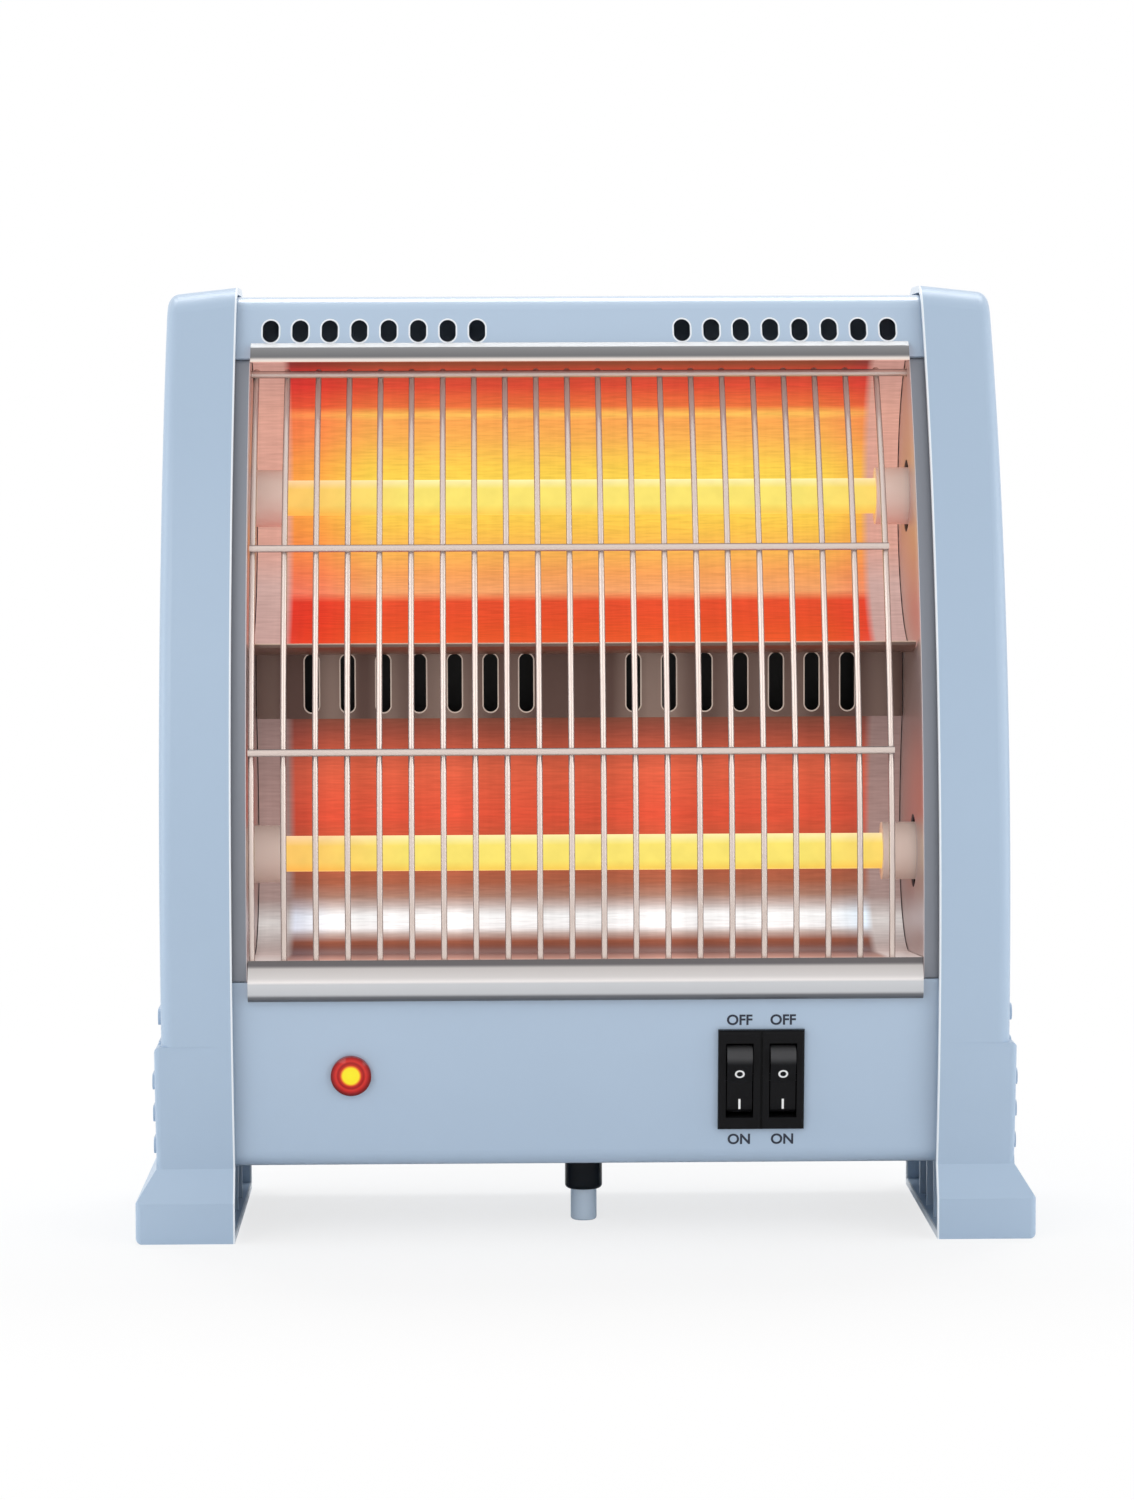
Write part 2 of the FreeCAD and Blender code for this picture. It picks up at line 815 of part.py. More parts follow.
pilots = [rod(f"panel_pilot_{spot}", "X", screw_hole, plate_outer - through, plate_outer + S.screw_length, at)
          for spot, at in enumerate(boss_places)]
panel_whole = fuse("panel_whole", [panel_open] + foot_ribs + bosses)
right_side_panel = node("right_side_panel", cut("right_panel", panel_whole, pilots))
node("left_side_panel", mirrored("left_panel", right_side_panel))

# Tube places

upper_vertex = place("upper_vertex", rear_panel_inner - S.upper_trough_gap)
upper_tube_y = place("upper_tube_place", upper_vertex - S.upper_tube_standoff)
upper_tube_z = place("upper_tube_height", S.overall_height - S.upper_tube_drop)
strip_front = rear_panel_inner - S.strip_gap
strip_rear = strip_front + S.sheet_thickness
lower_start = place("lower_start", strip_rear + S.fit_gap)
lower_vertex = place("lower_vertex", lower_start + S.lower_trough_sag)
lower_tube_y = place("lower_tube_place", lower_vertex - S.lower_tube_standoff)
lower_tube_z = place("lower_tube_height", S.sill_height + S.lower_tube_rise)
tube_places = {"upper": (upper_tube_y, upper_tube_z), "lower": (lower_tube_y, lower_tube_z)}

# Guard places

guard_centre = place("guard_centre", front + S.guard_depth + S.guard_radius)
guard_foot = S.sill_height + S.guard_foot_rise
guard_head = head - S.guard_head_drop
cross_offset = S.guard_wire / 2 + S.guard_cross_wire / 2 - S.guard_weld


def guard_at(height):
    """The centre of a cross wire at a height, in front of the uprights."""
    reach = root(square(S.guard_radius + cross_offset) - square(height - S.bulge_height))
    return guard_centre - reach, height


high_wire = guard_at(guard_head - S.guard_cross_wire / 2)
middle_wires = [guard_at(S.sill_height + rise) for rise in (S.guard_low_cross_rise, S.guard_mid_cross_rise)]

# End plates: the inner walls of the tube space, each with a front flange that frames the window

cover_low = S.overall_height - S.cover_front_drop
plate_rear = rear_panel_inner - S.fit_gap
panel_backing = (S.sheet_thickness + S.fit_gap) * stretch
plate_turn = base_top + S.base_bend_radius
plate_top_front = S.sill_height - S.panel_top_drop
plate_outline = [
    (panel_foot + S.base_bend_radius * 2, base_top),
    (on_panel(plate_turn) + panel_backing, plate_turn),
    (on_panel(plate_top_front) + panel_backing, plate_top_front),
    (front_at(S.sill_height, plate_inset), S.sill_height),
] + over_the_top(plate_inset, -S.cover_rise)[:3] + [
    (plate_rear, S.overall_height - S.rear_corner_radius),
    (plate_rear, base_top + S.base_bend_radius),
    (plate_rear - S.base_bend_radius, base_top),
]
flange_back = plate_inset + S.sheet_thickness
flange_outline = [
    (front_at(S.sill_height, plate_inset), S.sill_height),
    (front_at(cover_low, plate_inset), cover_low, S.bulge_radius - plate_inset),
    (front_at(cover_low, flange_back), cover_low),
    (front_at(S.sill_height, flange_back), S.sill_height, flange_back - S.bulge_radius),
]
plate_blank = prism("plate_blank", "YZ_Plane", [plate_outline], plate_inner, plate_outer)
plate_flange = prism("plate_flange", "YZ_Plane", [flange_outline], plate_inner, skin_end)
plate_holes = []
for name, (tube_y, tube_z) in tube_places.items():
    plate_holes.append(rod(f"plate_{name}_hole", "X", S.cap_hole_diameter / 2,
                           plate_inner - through, plate_outer + through, (tube_y, tube_z)))
plate_holes.append(rod("plate_wire_hole", "X", S.guard_cross_wire / 2 + S.fit_gap,
                       plate_inner - through, plate_outer + through, high_wire))
lead_hole_y = front + S.lead_hole_depth
plate_holes.append(rod("plate_lead_hole", "X", S.lead_hole_radius,
                       plate_inner - through, plate_outer + through, (lead_hole_y, S.lead_hole_height)))
for spot, at in enumerate(boss_places):
    plate_holes.append(rod(f"plate_screw_hole_{spot}", "X", screw_hole,
                           plate_inner - through, plate_outer + through, at))
plate_joined = fuse("plate_joined", [plate_blank, plate_flange])
right_end_plate = node("right_end_plate", cut("right_plate", plate_joined, plate_holes))
node("left_end_plate", mirrored("left_plate", right_end_plate))

# Top cover: a sheet rolled over the crown, with a row of vents at its front

cover_rear_low = S.overall_height - S.rear_corner_radius - S.rear_lap
cover_path = [(front_at(cover_low, S.skin_inset), cover_low)] + over_the_top(S.skin_inset, -S.cover_rise)
cover_path.append((rear_skin, cover_rear_low))
cover_bent = bent_sheet("cover_bent", cover_path, RIGHT, -skin_end, skin_end)
vent_outlines = []
for side in (-1, 1):
    for vent in range(VENTS_PER_SIDE):
        vent_x = (S.vent_innermost + S.vent_pitch * vent) * side
        vent_outlines.append(slot(vent_x, S.overall_height - S.vent_drop, S.vent_width, S.vent_height))
vents = prism("cover_vents", "XZ_Plane", vent_outlines, -crown_centre, -front)
rear_screw_xs = [S.rear_screw_pitch * step for step in (-1, 0, 1)]
rear_screw_high = cover_rear_low + S.rear_screw_margin
rear_screw_low = S.base_height + S.rear_lap - S.rear_screw_margin


def rear_holes(name, height):
    return [rod(f"{name}_{spot}", "Y", screw_hole, rear_panel_inner - through, rear + through, (x, height))
            for spot, x in enumerate(rear_screw_xs)]


cover_cuts = [vents] + rear_holes("cover_screw_hole", rear_screw_high)
top_cover = node("top_cover", cut("cover", cover_bent, cover_cuts))

# Control panel: one sheet that bends from the rear upstand through the base to the leaning front

plunger_y = front + S.plunger_depth
bend_trim = S.base_bend_radius / (stretch + lean)
panel_top = S.sill_height - S.panel_top_drop
panel_path = [
    (rear_skin, S.base_height + S.rear_lap),
    (rear_skin, S.base_height + S.sheet_bend_radius),
    (rear_skin - S.sheet_bend_radius, S.base_height, S.sheet_bend_radius),
    (panel_foot + bend_trim, S.base_height),
    (panel_foot - bend_trim * lean / stretch, S.base_height + bend_trim / stretch, S.base_bend_radius),
    (on_panel(panel_top), panel_top),
]
panel_bent = bent_sheet("panel_bent", panel_path, RIGHT, -skin_end, skin_end)
tip_screw_xs = [S.tip_screw_pitch / 2 * side for side in (-1, 1)]
switch_opening = prism("switch_opening", "XZ_Plane",
                       [rectangle(S.switch_body_width + S.fit_gap * 2, S.switch_body_height + S.fit_gap * 2)],
                       -S.sheet_thickness - through, through)
lamp_opening_radius = S.lens_stem_diameter / 2 + S.fit_gap
lamp_opening = turned("lamp_opening", [(ZERO, -through), (ZERO, through), (lamp_opening_radius, through),
                                       (lamp_opening_radius, -S.sheet_thickness - through)])
panel_openings = [
    on_control_panel(switch_opening, S.switch_place, S.switch_height),
    on_control_panel(lamp_opening, S.lamp_place, S.lamp_height, turn=90),
    rod("collar_opening", "Z", S.collar_diameter / 2 + S.fit_gap, S.base_height - through, base_top + through,
        (ZERO, plunger_y)),
]
for spot, x in enumerate(tip_screw_xs):
    panel_openings.append(rod(f"base_screw_hole_{spot}", "Z", screw_hole, S.base_height - through,
                              base_top + through, (x, plunger_y)))
panel_openings += rear_holes("upstand_screw_hole", rear_screw_low)
control_panel = node("control_panel", cut("panel", panel_bent, panel_openings))

# Rear panel: a flat sheet with two rows of air slots and the hole for the cord gland

rear_blank = box("rear_blank", (-skin_end, rear_panel_inner, base_top + S.sheet_bend_radius),
                 (skin_end, rear_panel_outer, S.overall_height - S.rear_corner_radius))
rear_slot_outlines = []
for row in range(REAR_SLOT_ROWS):
    for side in (-1, 1):
        for step in range(REAR_SLOTS_PER_SIDE):
            slot_x = S.rear_slot_pitch * (step + 1 / 2) * side
            slot_z = S.overall_height - S.rear_slot_drop - S.rear_slot_row_step * row
            rear_slot_outlines.append(slot(slot_x, slot_z, S.rear_slot_width, S.rear_slot_height))
rear_openings = [
    prism("rear_slots", "XZ_Plane", rear_slot_outlines,
          -rear_panel_outer - through, through - rear_panel_inner),
    rod("gland_opening", "Y", S.gland_thread_radius + S.fit_gap, rear_panel_inner - through,
        rear_panel_outer + through, (S.gland_place, S.gland_height)),
]
rear_openings += rear_holes("rear_high_hole", rear_screw_high) + rear_holes("rear_low_hole", rear_screw_low)
node("rear_panel", cut("rear_sheet", rear_blank, rear_openings))

# Reflectors and the slotted strip between them


def bow(start, vertex):
    """The radius of an arc that starts at one point and stands upright at another."""
    return (square(start[1] - vertex[1]) + square(vertex[0] - start[0])) / ((vertex[0] - start[0]) * 2)


trim_top = head + S.trim_height
trim_edge = trim_top - S.lip_return
upper_start = (front + S.ceiling_depth, head)
upper_back = (upper_vertex, upper_tube_z)
mid_lip = (front + S.mid_lip_depth, S.sill_height + S.mid_lip_rise)
upper_path = [
    (front_at(trim_top, S.skin_inset - S.sheet_thickness - S.fit_gap), trim_top),
    (front_at(trim_edge, S.lip_inset), trim_edge),
    (front_at(head, S.lip_inset), head),
    upper_start,
    (*upper_back, bow(upper_start, upper_back)),
    (*mid_lip, bow(mid_lip, upper_back)),
    (mid_lip[0], mid_lip[1] - S.mid_lip_drop),
]
node("upper_reflector", bent_sheet("upper_bent", upper_path, LEFT, -reflector_end, reflector_end))

strip_low = S.sill_height + S.strip_rise
strip_blank = box("strip_blank", (-reflector_end, strip_front, strip_low),
                  (reflector_end, strip_rear, strip_low + S.strip_height))
strip_outlines = []
for side in (-1, 1):
    for step in range(STRIP_SLOTS_PER_SIDE):
        slot_x = (S.strip_slot_innermost + S.strip_slot_pitch * step) * side
        slot_z = strip_low + S.strip_slot_rise + S.strip_slot_height / 2
        strip_outlines.append(slot(slot_x, slot_z, S.strip_slot_width, S.strip_slot_height))
strip_slots = prism("strip_slots", "XZ_Plane", strip_outlines, -strip_rear - through, through - strip_front)
node("vent_strip", cut("strip", strip_blank, [strip_slots]))

lower_top = (lower_start, strip_low + S.lower_trough_lap)
lower_back = (lower_vertex, lower_tube_z)
floor_height = S.sill_height + S.floor_rise
floor_bend = lower_tube_z - floor_height
lip_low = S.sill_height - S.lip_height
lip_turn = lip_low + S.lip_roll_radius
lip_front = front_at(lip_turn, S.lip_inset)
lower_path = [
    lower_top,
    (*lower_back, bow(lower_top, lower_back)),
    (lower_vertex - floor_bend, floor_height, floor_bend),
    (front + S.shelf_depth, S.sill_height + S.shelf_rise),
    (front_at(S.sill_height, S.lip_inset), S.sill_height),
    (lip_front, lip_turn),
    (lip_front + S.lip_roll_radius, lip_low, -S.lip_roll_radius),
    (lip_front + S.lip_roll_radius + S.lip_tail, lip_low),
]
lower_bent = bent_sheet("lower_bent", lower_path, LEFT, -reflector_end, reflector_end)
shelf_top = S.sill_height + S.shelf_rise
foot_y = guard_centre - root(square(S.guard_radius) - square(shelf_top - S.bulge_height))
guard_xs = [S.guard_pitch * (wire - (GUARD_WIRES - 1) / 2) - S.guard_shift for wire in range(GUARD_WIRES)]
foot_holes = [rod(f"guard_foot_hole_{wire}", "Z", S.guard_wire / 2 + S.fit_gap, guard_foot - through,
                  shelf_top + through, (wire_x, foot_y)) for wire, wire_x in enumerate(guard_xs)]
node("lower_reflector", cut("lower_sheet", lower_bent, foot_holes))

# Guard grille: bowed upright wires that stand in the shelf, with cross wires welded in front of them

foot_angle = math.asin((S.bulge_height.number - guard_foot.number) / S.guard_radius.number)
foot_way = Vector(0, -math.cos(foot_angle), -math.sin(foot_angle))
climb_way = Vector(0, -math.sin(foot_angle), math.cos(foot_angle))
foot_sine = (S.bulge_height - guard_foot) / S.guard_radius
head_sine = (guard_head - S.bulge_height) / S.guard_radius
guard_pieces = []
for wire, wire_x in enumerate(guard_xs):
    upright = doc.addObject("Part::Torus", f"guard_upright_{wire}")
    bind(upright, "Radius1", S.guard_radius)
    bind(upright, "Radius2", S.guard_wire / 2)
    upright.setExpression("Angle3", f"asin({foot_sine.text}) + asin({head_sine.text})")
    upright.Placement = Placement(Vector(), Rotation(foot_way, climb_way, Vector(-1, 0, 0), "ZXY"))
    guard_pieces.append(put(upright, (wire_x, guard_centre, S.bulge_height)))
wire_ends = (guard_xs[0] - S.guard_wire / 2, guard_xs[-1] + S.guard_wire / 2)
long_end = plate_outer + S.sheet_thickness
guard_pieces.append(rod("guard_high_wire", "X", S.guard_cross_wire / 2, -long_end, long_end, high_wire))
for row, at in enumerate(middle_wires):
    guard_pieces.append(rod(f"guard_middle_wire_{row}", "X", S.guard_cross_wire / 2, *wire_ends, at))
node("guard_grille", fuse("guard", guard_pieces))

# Quartz tubes with their coils, ceramic caps, brackets and terminals

tube_end = S.tube_length / 2
cap_inner = plate_inner - S.cap_reach
web_inner = plate_outer + S.bracket_standoff
web_outer = web_inner + S.bracket_thickness
cap_outer = web_outer + S.cap_flange_thickness
terminal_inner = tube_end - S.terminal_setback
coil_end = S.coil_pitch * COIL_TURNS / 2
for name, at in tube_places.items():
    tube_y, tube_z = at
    tube_rod = rod(f"{name}_tube_rod", "X", S.tube_diameter / 2, -tube_end, tube_end, at)
    tube_bore = rod(f"{name}_tube_bore", "X", S.tube_diameter / 2 - S.tube_wall, -tube_end - through,
                    tube_end + through, at)
    node(f"{name}_quartz_tube", cut(f"{name}_tube", tube_rod, [tube_bore]))

    cap_whole = fuse(f"{name}_cap_whole", [
        rod(f"{name}_cap_rod", "X", S.cap_diameter / 2, cap_inner, cap_outer, at),
        rod(f"{name}_cap_flange", "X", S.cap_flange_radius, web_outer, cap_outer, at),
    ])
    cap = cut(f"{name}_cap", cap_whole, [
        rod(f"{name}_cap_socket", "X", S.tube_diameter / 2 + S.tube_fit, cap_inner - through,
            tube_end + S.fit_gap, at),
        rod(f"{name}_cap_bore", "X", S.terminal_radius + S.running_play, tube_end, cap_outer + through, at),
    ])
    node(f"{name}_right_cap", cap)
    node(f"{name}_left_cap", mirrored(f"{name}_cap_twin", cap))

    half_wide = S.bracket_width / 2
    half_high = S.bracket_height / 2
    bracket_whole = fuse(f"{name}_bracket_whole", [
        box(f"{name}_bracket_web", (web_inner, tube_y - half_wide, tube_z - half_high),
            (web_outer, tube_y + half_wide, tube_z + half_high)),
        box(f"{name}_bracket_low_leg", (plate_outer, tube_y - half_wide, tube_z - half_high),
            (web_outer, tube_y + half_wide, tube_z - half_high + S.bracket_thickness)),
        box(f"{name}_bracket_high_leg",
            (plate_outer, tube_y - half_wide, tube_z + half_high - S.bracket_thickness),
            (web_outer, tube_y + half_wide, tube_z + half_high)),
    ])
    bracket = cut(f"{name}_bracket", bracket_whole, [
        rod(f"{name}_bracket_hole", "X", S.cap_diameter / 2 + S.cap_fit, web_inner - through,
            web_outer + through, at),
    ])
    node(f"{name}_right_bracket", bracket)
    node(f"{name}_left_bracket", mirrored(f"{name}_bracket_twin", bracket))

    nut_outline = [(tube_y + u, tube_z + v) for u, v in hexagon(S.terminal_nut_width)]
    terminal = fuse(f"{name}_terminal", [
        rod(f"{name}_terminal_stud", "X", S.terminal_radius,
            terminal_inner, cap_outer + S.terminal_reach, at),
        rod(f"{name}_terminal_disc", "X", S.terminal_disc_radius, terminal_inner,
            terminal_inner + S.terminal_disc_thickness, at),
        prism(f"{name}_terminal_nut", "YZ_Plane", [nut_outline],
              cap_outer, cap_outer + S.terminal_nut_thickness),
    ])
    node(f"{name}_right_terminal", terminal)
    node(f"{name}_left_terminal", mirrored(f"{name}_terminal_twin", terminal))

    axis, side = Vector(1, 0, 0), Vector(0, 1, 0)
    axis_start = Vector(-coil_end.number, tube_y.number, tube_z.number)
    helix = (axis_start, axis, side, S.coil_radius.number, S.coil_pitch.number)
    first, first_way = helix_point(*helix, 0)
    last, last_way = helix_point(*helix, COIL_TURNS)
    tail_start = helix_point(*helix, -COIL_TAIL_TURN_SHARE)[0]
    tail_start.x = -coil_end.number - S.coil_tail.number
    tail_end = helix_point(*helix, COIL_TURNS + COIL_TAIL_TURN_SHARE)[0]
    tail_end.x = coil_end.number + S.coil_tail.number
    near = Vector(-terminal_inner.number, tail_start.y, tail_start.z)
    far = Vector(terminal_inner.number, tail_end.y, tail_end.z)
    coil_edges = [Part.LineSegment(near, tail_start)] + biarc(tail_start, axis, first, first_way)
    coil_edges += helix_edges(*helix, COIL_TURNS) + biarc(last, last_way, tail_end, axis)
    coil_edges.append(Part.LineSegment(tail_end, far))
    coil = solid_feature(f"{name}_coil", swept(coil_edges, near, axis, S.coil_wire.number / 2))
    node(f"{name}_heating_coil", coil)
coil_gap = helix_gap(S.coil_radius.number, S.coil_pitch.number, S.coil_wire.number)
print(f"least gap between coil turns {coil_gap:.3f} mm")

# Double rocker switch, built flat and then stood on the leaning panel


def outer_edge(thickness):
    """Finds the edges of a plate's front face."""
    return lambda edge: all(abs(vertex.Y + thickness.number) < TOUCH for vertex in edge.Vertexes)


tilt = math.radians(ROCKER_TILT)
rocker_peak = S.rocker_face_height + S.rocker_half_height * math.tan(tilt)
rocker_swing = S.rocker_half_height * math.cos(tilt) + rocker_peak * math.sin(tilt)
half_body = S.switch_body_width / 2
bezel = prism("switch_bezel", "XZ_Plane", [rectangle(S.bezel_width, S.bezel_height)], ZERO, S.bezel_thickness,
              (S.bezel_edge_radius, outer_edge(S.bezel_thickness)))
switch_body = prism("switch_body", "XZ_Plane", [rectangle(S.switch_body_width, S.switch_body_height)],
                    -S.switch_body_depth, ZERO)
switch_cuts = [rod("switch_pin_hole", "X", S.rocker_pin_radius + S.running_play, -half_body - through,
                   half_body + through, (S.rocker_pivot_depth, ZERO))]
groove_half = S.bezel_groove_width / 2
groove_reach = S.bezel_height / 2 + through
switch_cuts.append(box("switch_groove", (-groove_half, -S.bezel_thickness - through, -groove_reach),
                       (groove_half, S.bezel_groove_depth - S.bezel_thickness, groove_reach)))
rocker_sides = {"left": -S.rocker_pitch / 2, "right": S.rocker_pitch / 2}
for name, middle in rocker_sides.items():
    half = S.rocker_width / 2 + S.rocker_play
    reach = rocker_swing + S.rocker_play
    well = [(middle - half, -reach), (middle - half, reach), (middle + half, reach), (middle + half, -reach)]
    switch_cuts.append(prism(f"switch_{name}_well", "XZ_Plane", [well], S.switch_floor - S.switch_body_depth,
                             S.bezel_thickness + through))
housing = cut("switch_shell", fuse("switch_whole", [bezel, switch_body]), switch_cuts)
node("switch_housing", on_control_panel(housing, S.switch_place, S.switch_height))
pivot_at = (on_panel(S.switch_height) + S.rocker_pivot_depth / stretch,
            S.switch_height + S.rocker_pivot_depth * lean / stretch)
node("rocker_pivot_pin", rod("switch_pin", "X", S.rocker_pin_radius, S.switch_place - half_body,
                             S.switch_place + half_body, pivot_at))

rocker_outline = [
    (-rocker_peak, -S.rocker_half_height),
    (-S.rocker_face_height, ZERO),
    (-rocker_peak, S.rocker_half_height),
    (S.rocker_end_depth, S.rocker_half_height),
    (S.rocker_skirt_depth, S.rocker_skirt_half_height),
    (S.rocker_skirt_depth, -S.rocker_skirt_half_height),
    (S.rocker_end_depth, -S.rocker_half_height),
]


def rocker_tip(edge):
    at_peak = all(abs(vertex.Y + rocker_peak.number) < TOUCH for vertex in edge.Vertexes)
    return at_peak and len(edge.Vertexes) == 2


for name, middle in rocker_sides.items():
    half = S.rocker_width / 2
    rocker_blank = prism(f"rocker_{name}_blank", "YZ_Plane", [rocker_outline], -half, half,
                         (S.rocker_edge_radius, rocker_tip))
    rocker_bore = rod(f"rocker_{name}_bore", "X", S.rocker_pin_radius + S.running_play, -half - through,
                      half + through, (ZERO, ZERO))
    rocker = cut(f"rocker_{name}", rocker_blank, [rocker_bore])
    node(f"{name}_rocker", on_control_panel(rocker, S.switch_place + middle, S.switch_height,
                                            S.rocker_pivot_depth, ROCKER_TILT))
tabs = []
for name, middle in rocker_sides.items():
    for row in (-1, 1):
        tab_z = S.switch_tab_pitch / 2 * row
        tab_half = S.switch_tab_width / 2
        tabs.append(box(f"switch_{name}_tab_{row + 1}",
                        (middle - tab_half, S.switch_body_depth, tab_z - S.switch_tab_thickness / 2),
                        (middle + tab_half, S.switch_body_depth + S.switch_tab_length,
                         tab_z + S.switch_tab_thickness / 2)))
node("switch_terminals", on_control_panel(fuse("switch_tabs", tabs), S.switch_place, S.switch_height))

# Indicator lamp: a domed lens with a hollow stem, its ring behind the sheet and the neon lamp inside

lens_radius = S.lens_diameter / 2
stem_radius = S.lens_stem_diameter / 2
lens_bore = S.lens_bore_diameter / 2
lens_top = S.lens_rim_height + S.lens_crown
dome = (square(lens_radius) + square(S.lens_crown)) / (S.lens_crown * 2)
lens_floor = S.lens_rim_height / 2
lens = turned("lens", [
    (lens_bore, -S.lens_stem_length),
    (lens_bore, lens_floor),
    (ZERO, lens_floor),
    (ZERO, lens_top),
    (lens_radius, S.lens_rim_height, dome),
    (lens_radius, ZERO),
    (stem_radius, ZERO),
    (stem_radius, -S.lens_stem_length),
])
node("indicator_lens", on_control_panel(lens, S.lamp_place, S.lamp_height, turn=90))
ring = turned("lens_ring", [
    (stem_radius + S.running_play, -S.sheet_thickness - S.lens_ring_thickness),
    (stem_radius + S.running_play, -S.sheet_thickness),
    (S.lens_ring_diameter / 2, -S.sheet_thickness),
    (S.lens_ring_diameter / 2, -S.sheet_thickness - S.lens_ring_thickness),
])
node("indicator_ring", on_control_panel(ring, S.lamp_place, S.lamp_height, turn=90))
neon_radius = S.neon_diameter / 2
neon_top = lens_floor - S.fit_gap
neon_foot = neon_top - S.neon_length
neon_bulb = turned("neon_bulb", [
    (ZERO, neon_foot),
    (ZERO, neon_top),
    (neon_radius, neon_top - neon_radius, neon_radius),
    (neon_radius, neon_foot),
])
neon_legs = [rod(f"neon_leg_{side + 1}", "Z", S.neon_leg_radius, neon_foot - S.neon_leg_length, neon_foot,
                 (S.neon_leg_pitch / 2 * side, ZERO)) for side in (-1, 1)]
neon = fuse("neon", [neon_bulb] + neon_legs)
node("neon_lamp", on_control_panel(neon, S.lamp_place, S.lamp_height, turn=90))

# Tip-over switch: a plunger held down on the floor by its spring until the heater falls

plunger_at = (ZERO, plunger_y)
plunger_radius = S.plunger_diameter / 2
flange_top = base_top + S.collar_flange_thickness
head_low = flange_top + S.plunger_travel + S.fit_gap
head_top = head_low + S.plunger_head_thickness
stem_top = head_top + S.plunger_stem_length
plunger = turned("plunger_turned", [
    (ZERO, ZERO),
    (ZERO, stem_top),
    (S.plunger_stem_radius, stem_top),
    (S.plunger_stem_radius, head_top),
    (S.plunger_head_radius, head_top),
    (S.plunger_head_radius, head_low),
    (plunger_radius, head_low),
    (plunger_radius, S.plunger_tip_radius),
    (plunger_radius - S.plunger_tip_radius, ZERO, S.plunger_tip_radius),
])
node("tip_plunger", put(plunger, (*plunger_at, ZERO)))
collar_radius = S.collar_diameter / 2
collar_bore = plunger_radius + S.running_play
collar_turned = turned("collar_turned", [
    (collar_bore, S.collar_foot),
    (collar_bore, flange_top),
    (S.collar_flange_radius, flange_top),
    (S.collar_flange_radius, base_top),
    (collar_radius, base_top),
    (collar_radius, S.collar_foot + S.collar_edge_radius),
    (collar_radius - S.collar_edge_radius, S.collar_foot, S.collar_edge_radius),
])
put(collar_turned, (*plunger_at, ZERO))
collar_holes = [rod(f"collar_screw_hole_{spot}", "Z", screw_hole, base_top - through, flange_top + through,
                    (x, plunger_y)) for spot, x in enumerate(tip_screw_xs)]
node("plunger_collar", cut("collar", collar_turned, collar_holes))

bridge_low = head_top
bridge_top = bridge_low + S.bridge_thickness
bridge_blank = box("bridge_blank", (-S.bridge_length / 2, plunger_y - S.bridge_width / 2, bridge_low),
                   (S.bridge_length / 2, plunger_y + S.bridge_width / 2, bridge_top))
bridge_hole = rod("bridge_hole", "Z", S.plunger_stem_radius + S.running_play, bridge_low - through,
                  bridge_top + through, plunger_at)
node("contact_bridge", cut("bridge", bridge_blank, [bridge_hole]))

housing_half = S.tip_housing_width / 2
housing_top = flange_top + S.tip_housing_height
cavity_top = housing_top - S.tip_housing_wall
contact_top = bridge_top + S.contact_thickness
contact_end = housing_half + S.contact_reach
tip_blank = box("tip_blank", (-housing_half, plunger_y - S.tip_housing_depth / 2, flange_top),
                (housing_half, plunger_y + S.tip_housing_depth / 2, housing_top))
tip_cuts = [
    rod("tip_cavity", "Z", S.tip_cavity_radius, flange_top - through, cavity_top, plunger_at),
    box("tip_contact_slot", (-contact_end, plunger_y - S.contact_width / 2, bridge_top),
        (contact_end, plunger_y + S.contact_width / 2, contact_top)),
]
for spot, x in enumerate(tip_screw_xs):
    tip_cuts.append(rod(f"tip_pilot_{spot}", "Z", screw_hole, flange_top - through,
                        S.base_height + S.screw_length, (x, plunger_y)))
node("tip_switch_housing", cut("tip_housing", tip_blank, tip_cuts))
contacts = []
for side, (near, far) in enumerate(((-contact_end, -S.contact_inset), (S.contact_inset, contact_end))):
    contacts.append(box(f"contact_{side}", (near, plunger_y - S.contact_width / 2, bridge_top),
                        (far, plunger_y + S.contact_width / 2, contact_top)))
node("fixed_contacts", fuse("contact_pair", contacts))

spring_foot = bridge_top.number + S.spring_wire.number / 2 + S.fit_gap.number
spring_head = cavity_top.number - S.spring_wire.number / 2 - S.fit_gap.number
spring_pitch = (spring_head - spring_foot) / SPRING_TURNS
axis, side = Vector(0, 0, 1), Vector(1, 0, 0)
helix = (Vector(0, plunger_y.number, spring_foot), axis, side, S.spring_radius.number, spring_pitch)
first, first_way = helix_point(*helix, 0)
last, last_way = helix_point(*helix, SPRING_TURNS)
near = first - first_way * S.spring_wire.number
far = last + last_way * S.spring_wire.number
spring_edges = [Part.LineSegment(near, first)] + helix_edges(*helix, SPRING_TURNS)
spring_edges.append(Part.LineSegment(last, far))
spring = solid_feature("spring_wire", swept(spring_edges, near, first_way, S.spring_wire.number / 2))
node("plunger_spring", spring)
spring_gap = helix_gap(S.spring_radius.number, spring_pitch, S.spring_wire.number)
print(f"least gap between spring turns {spring_gap:.3f} mm")

# Terminal block and cord gland

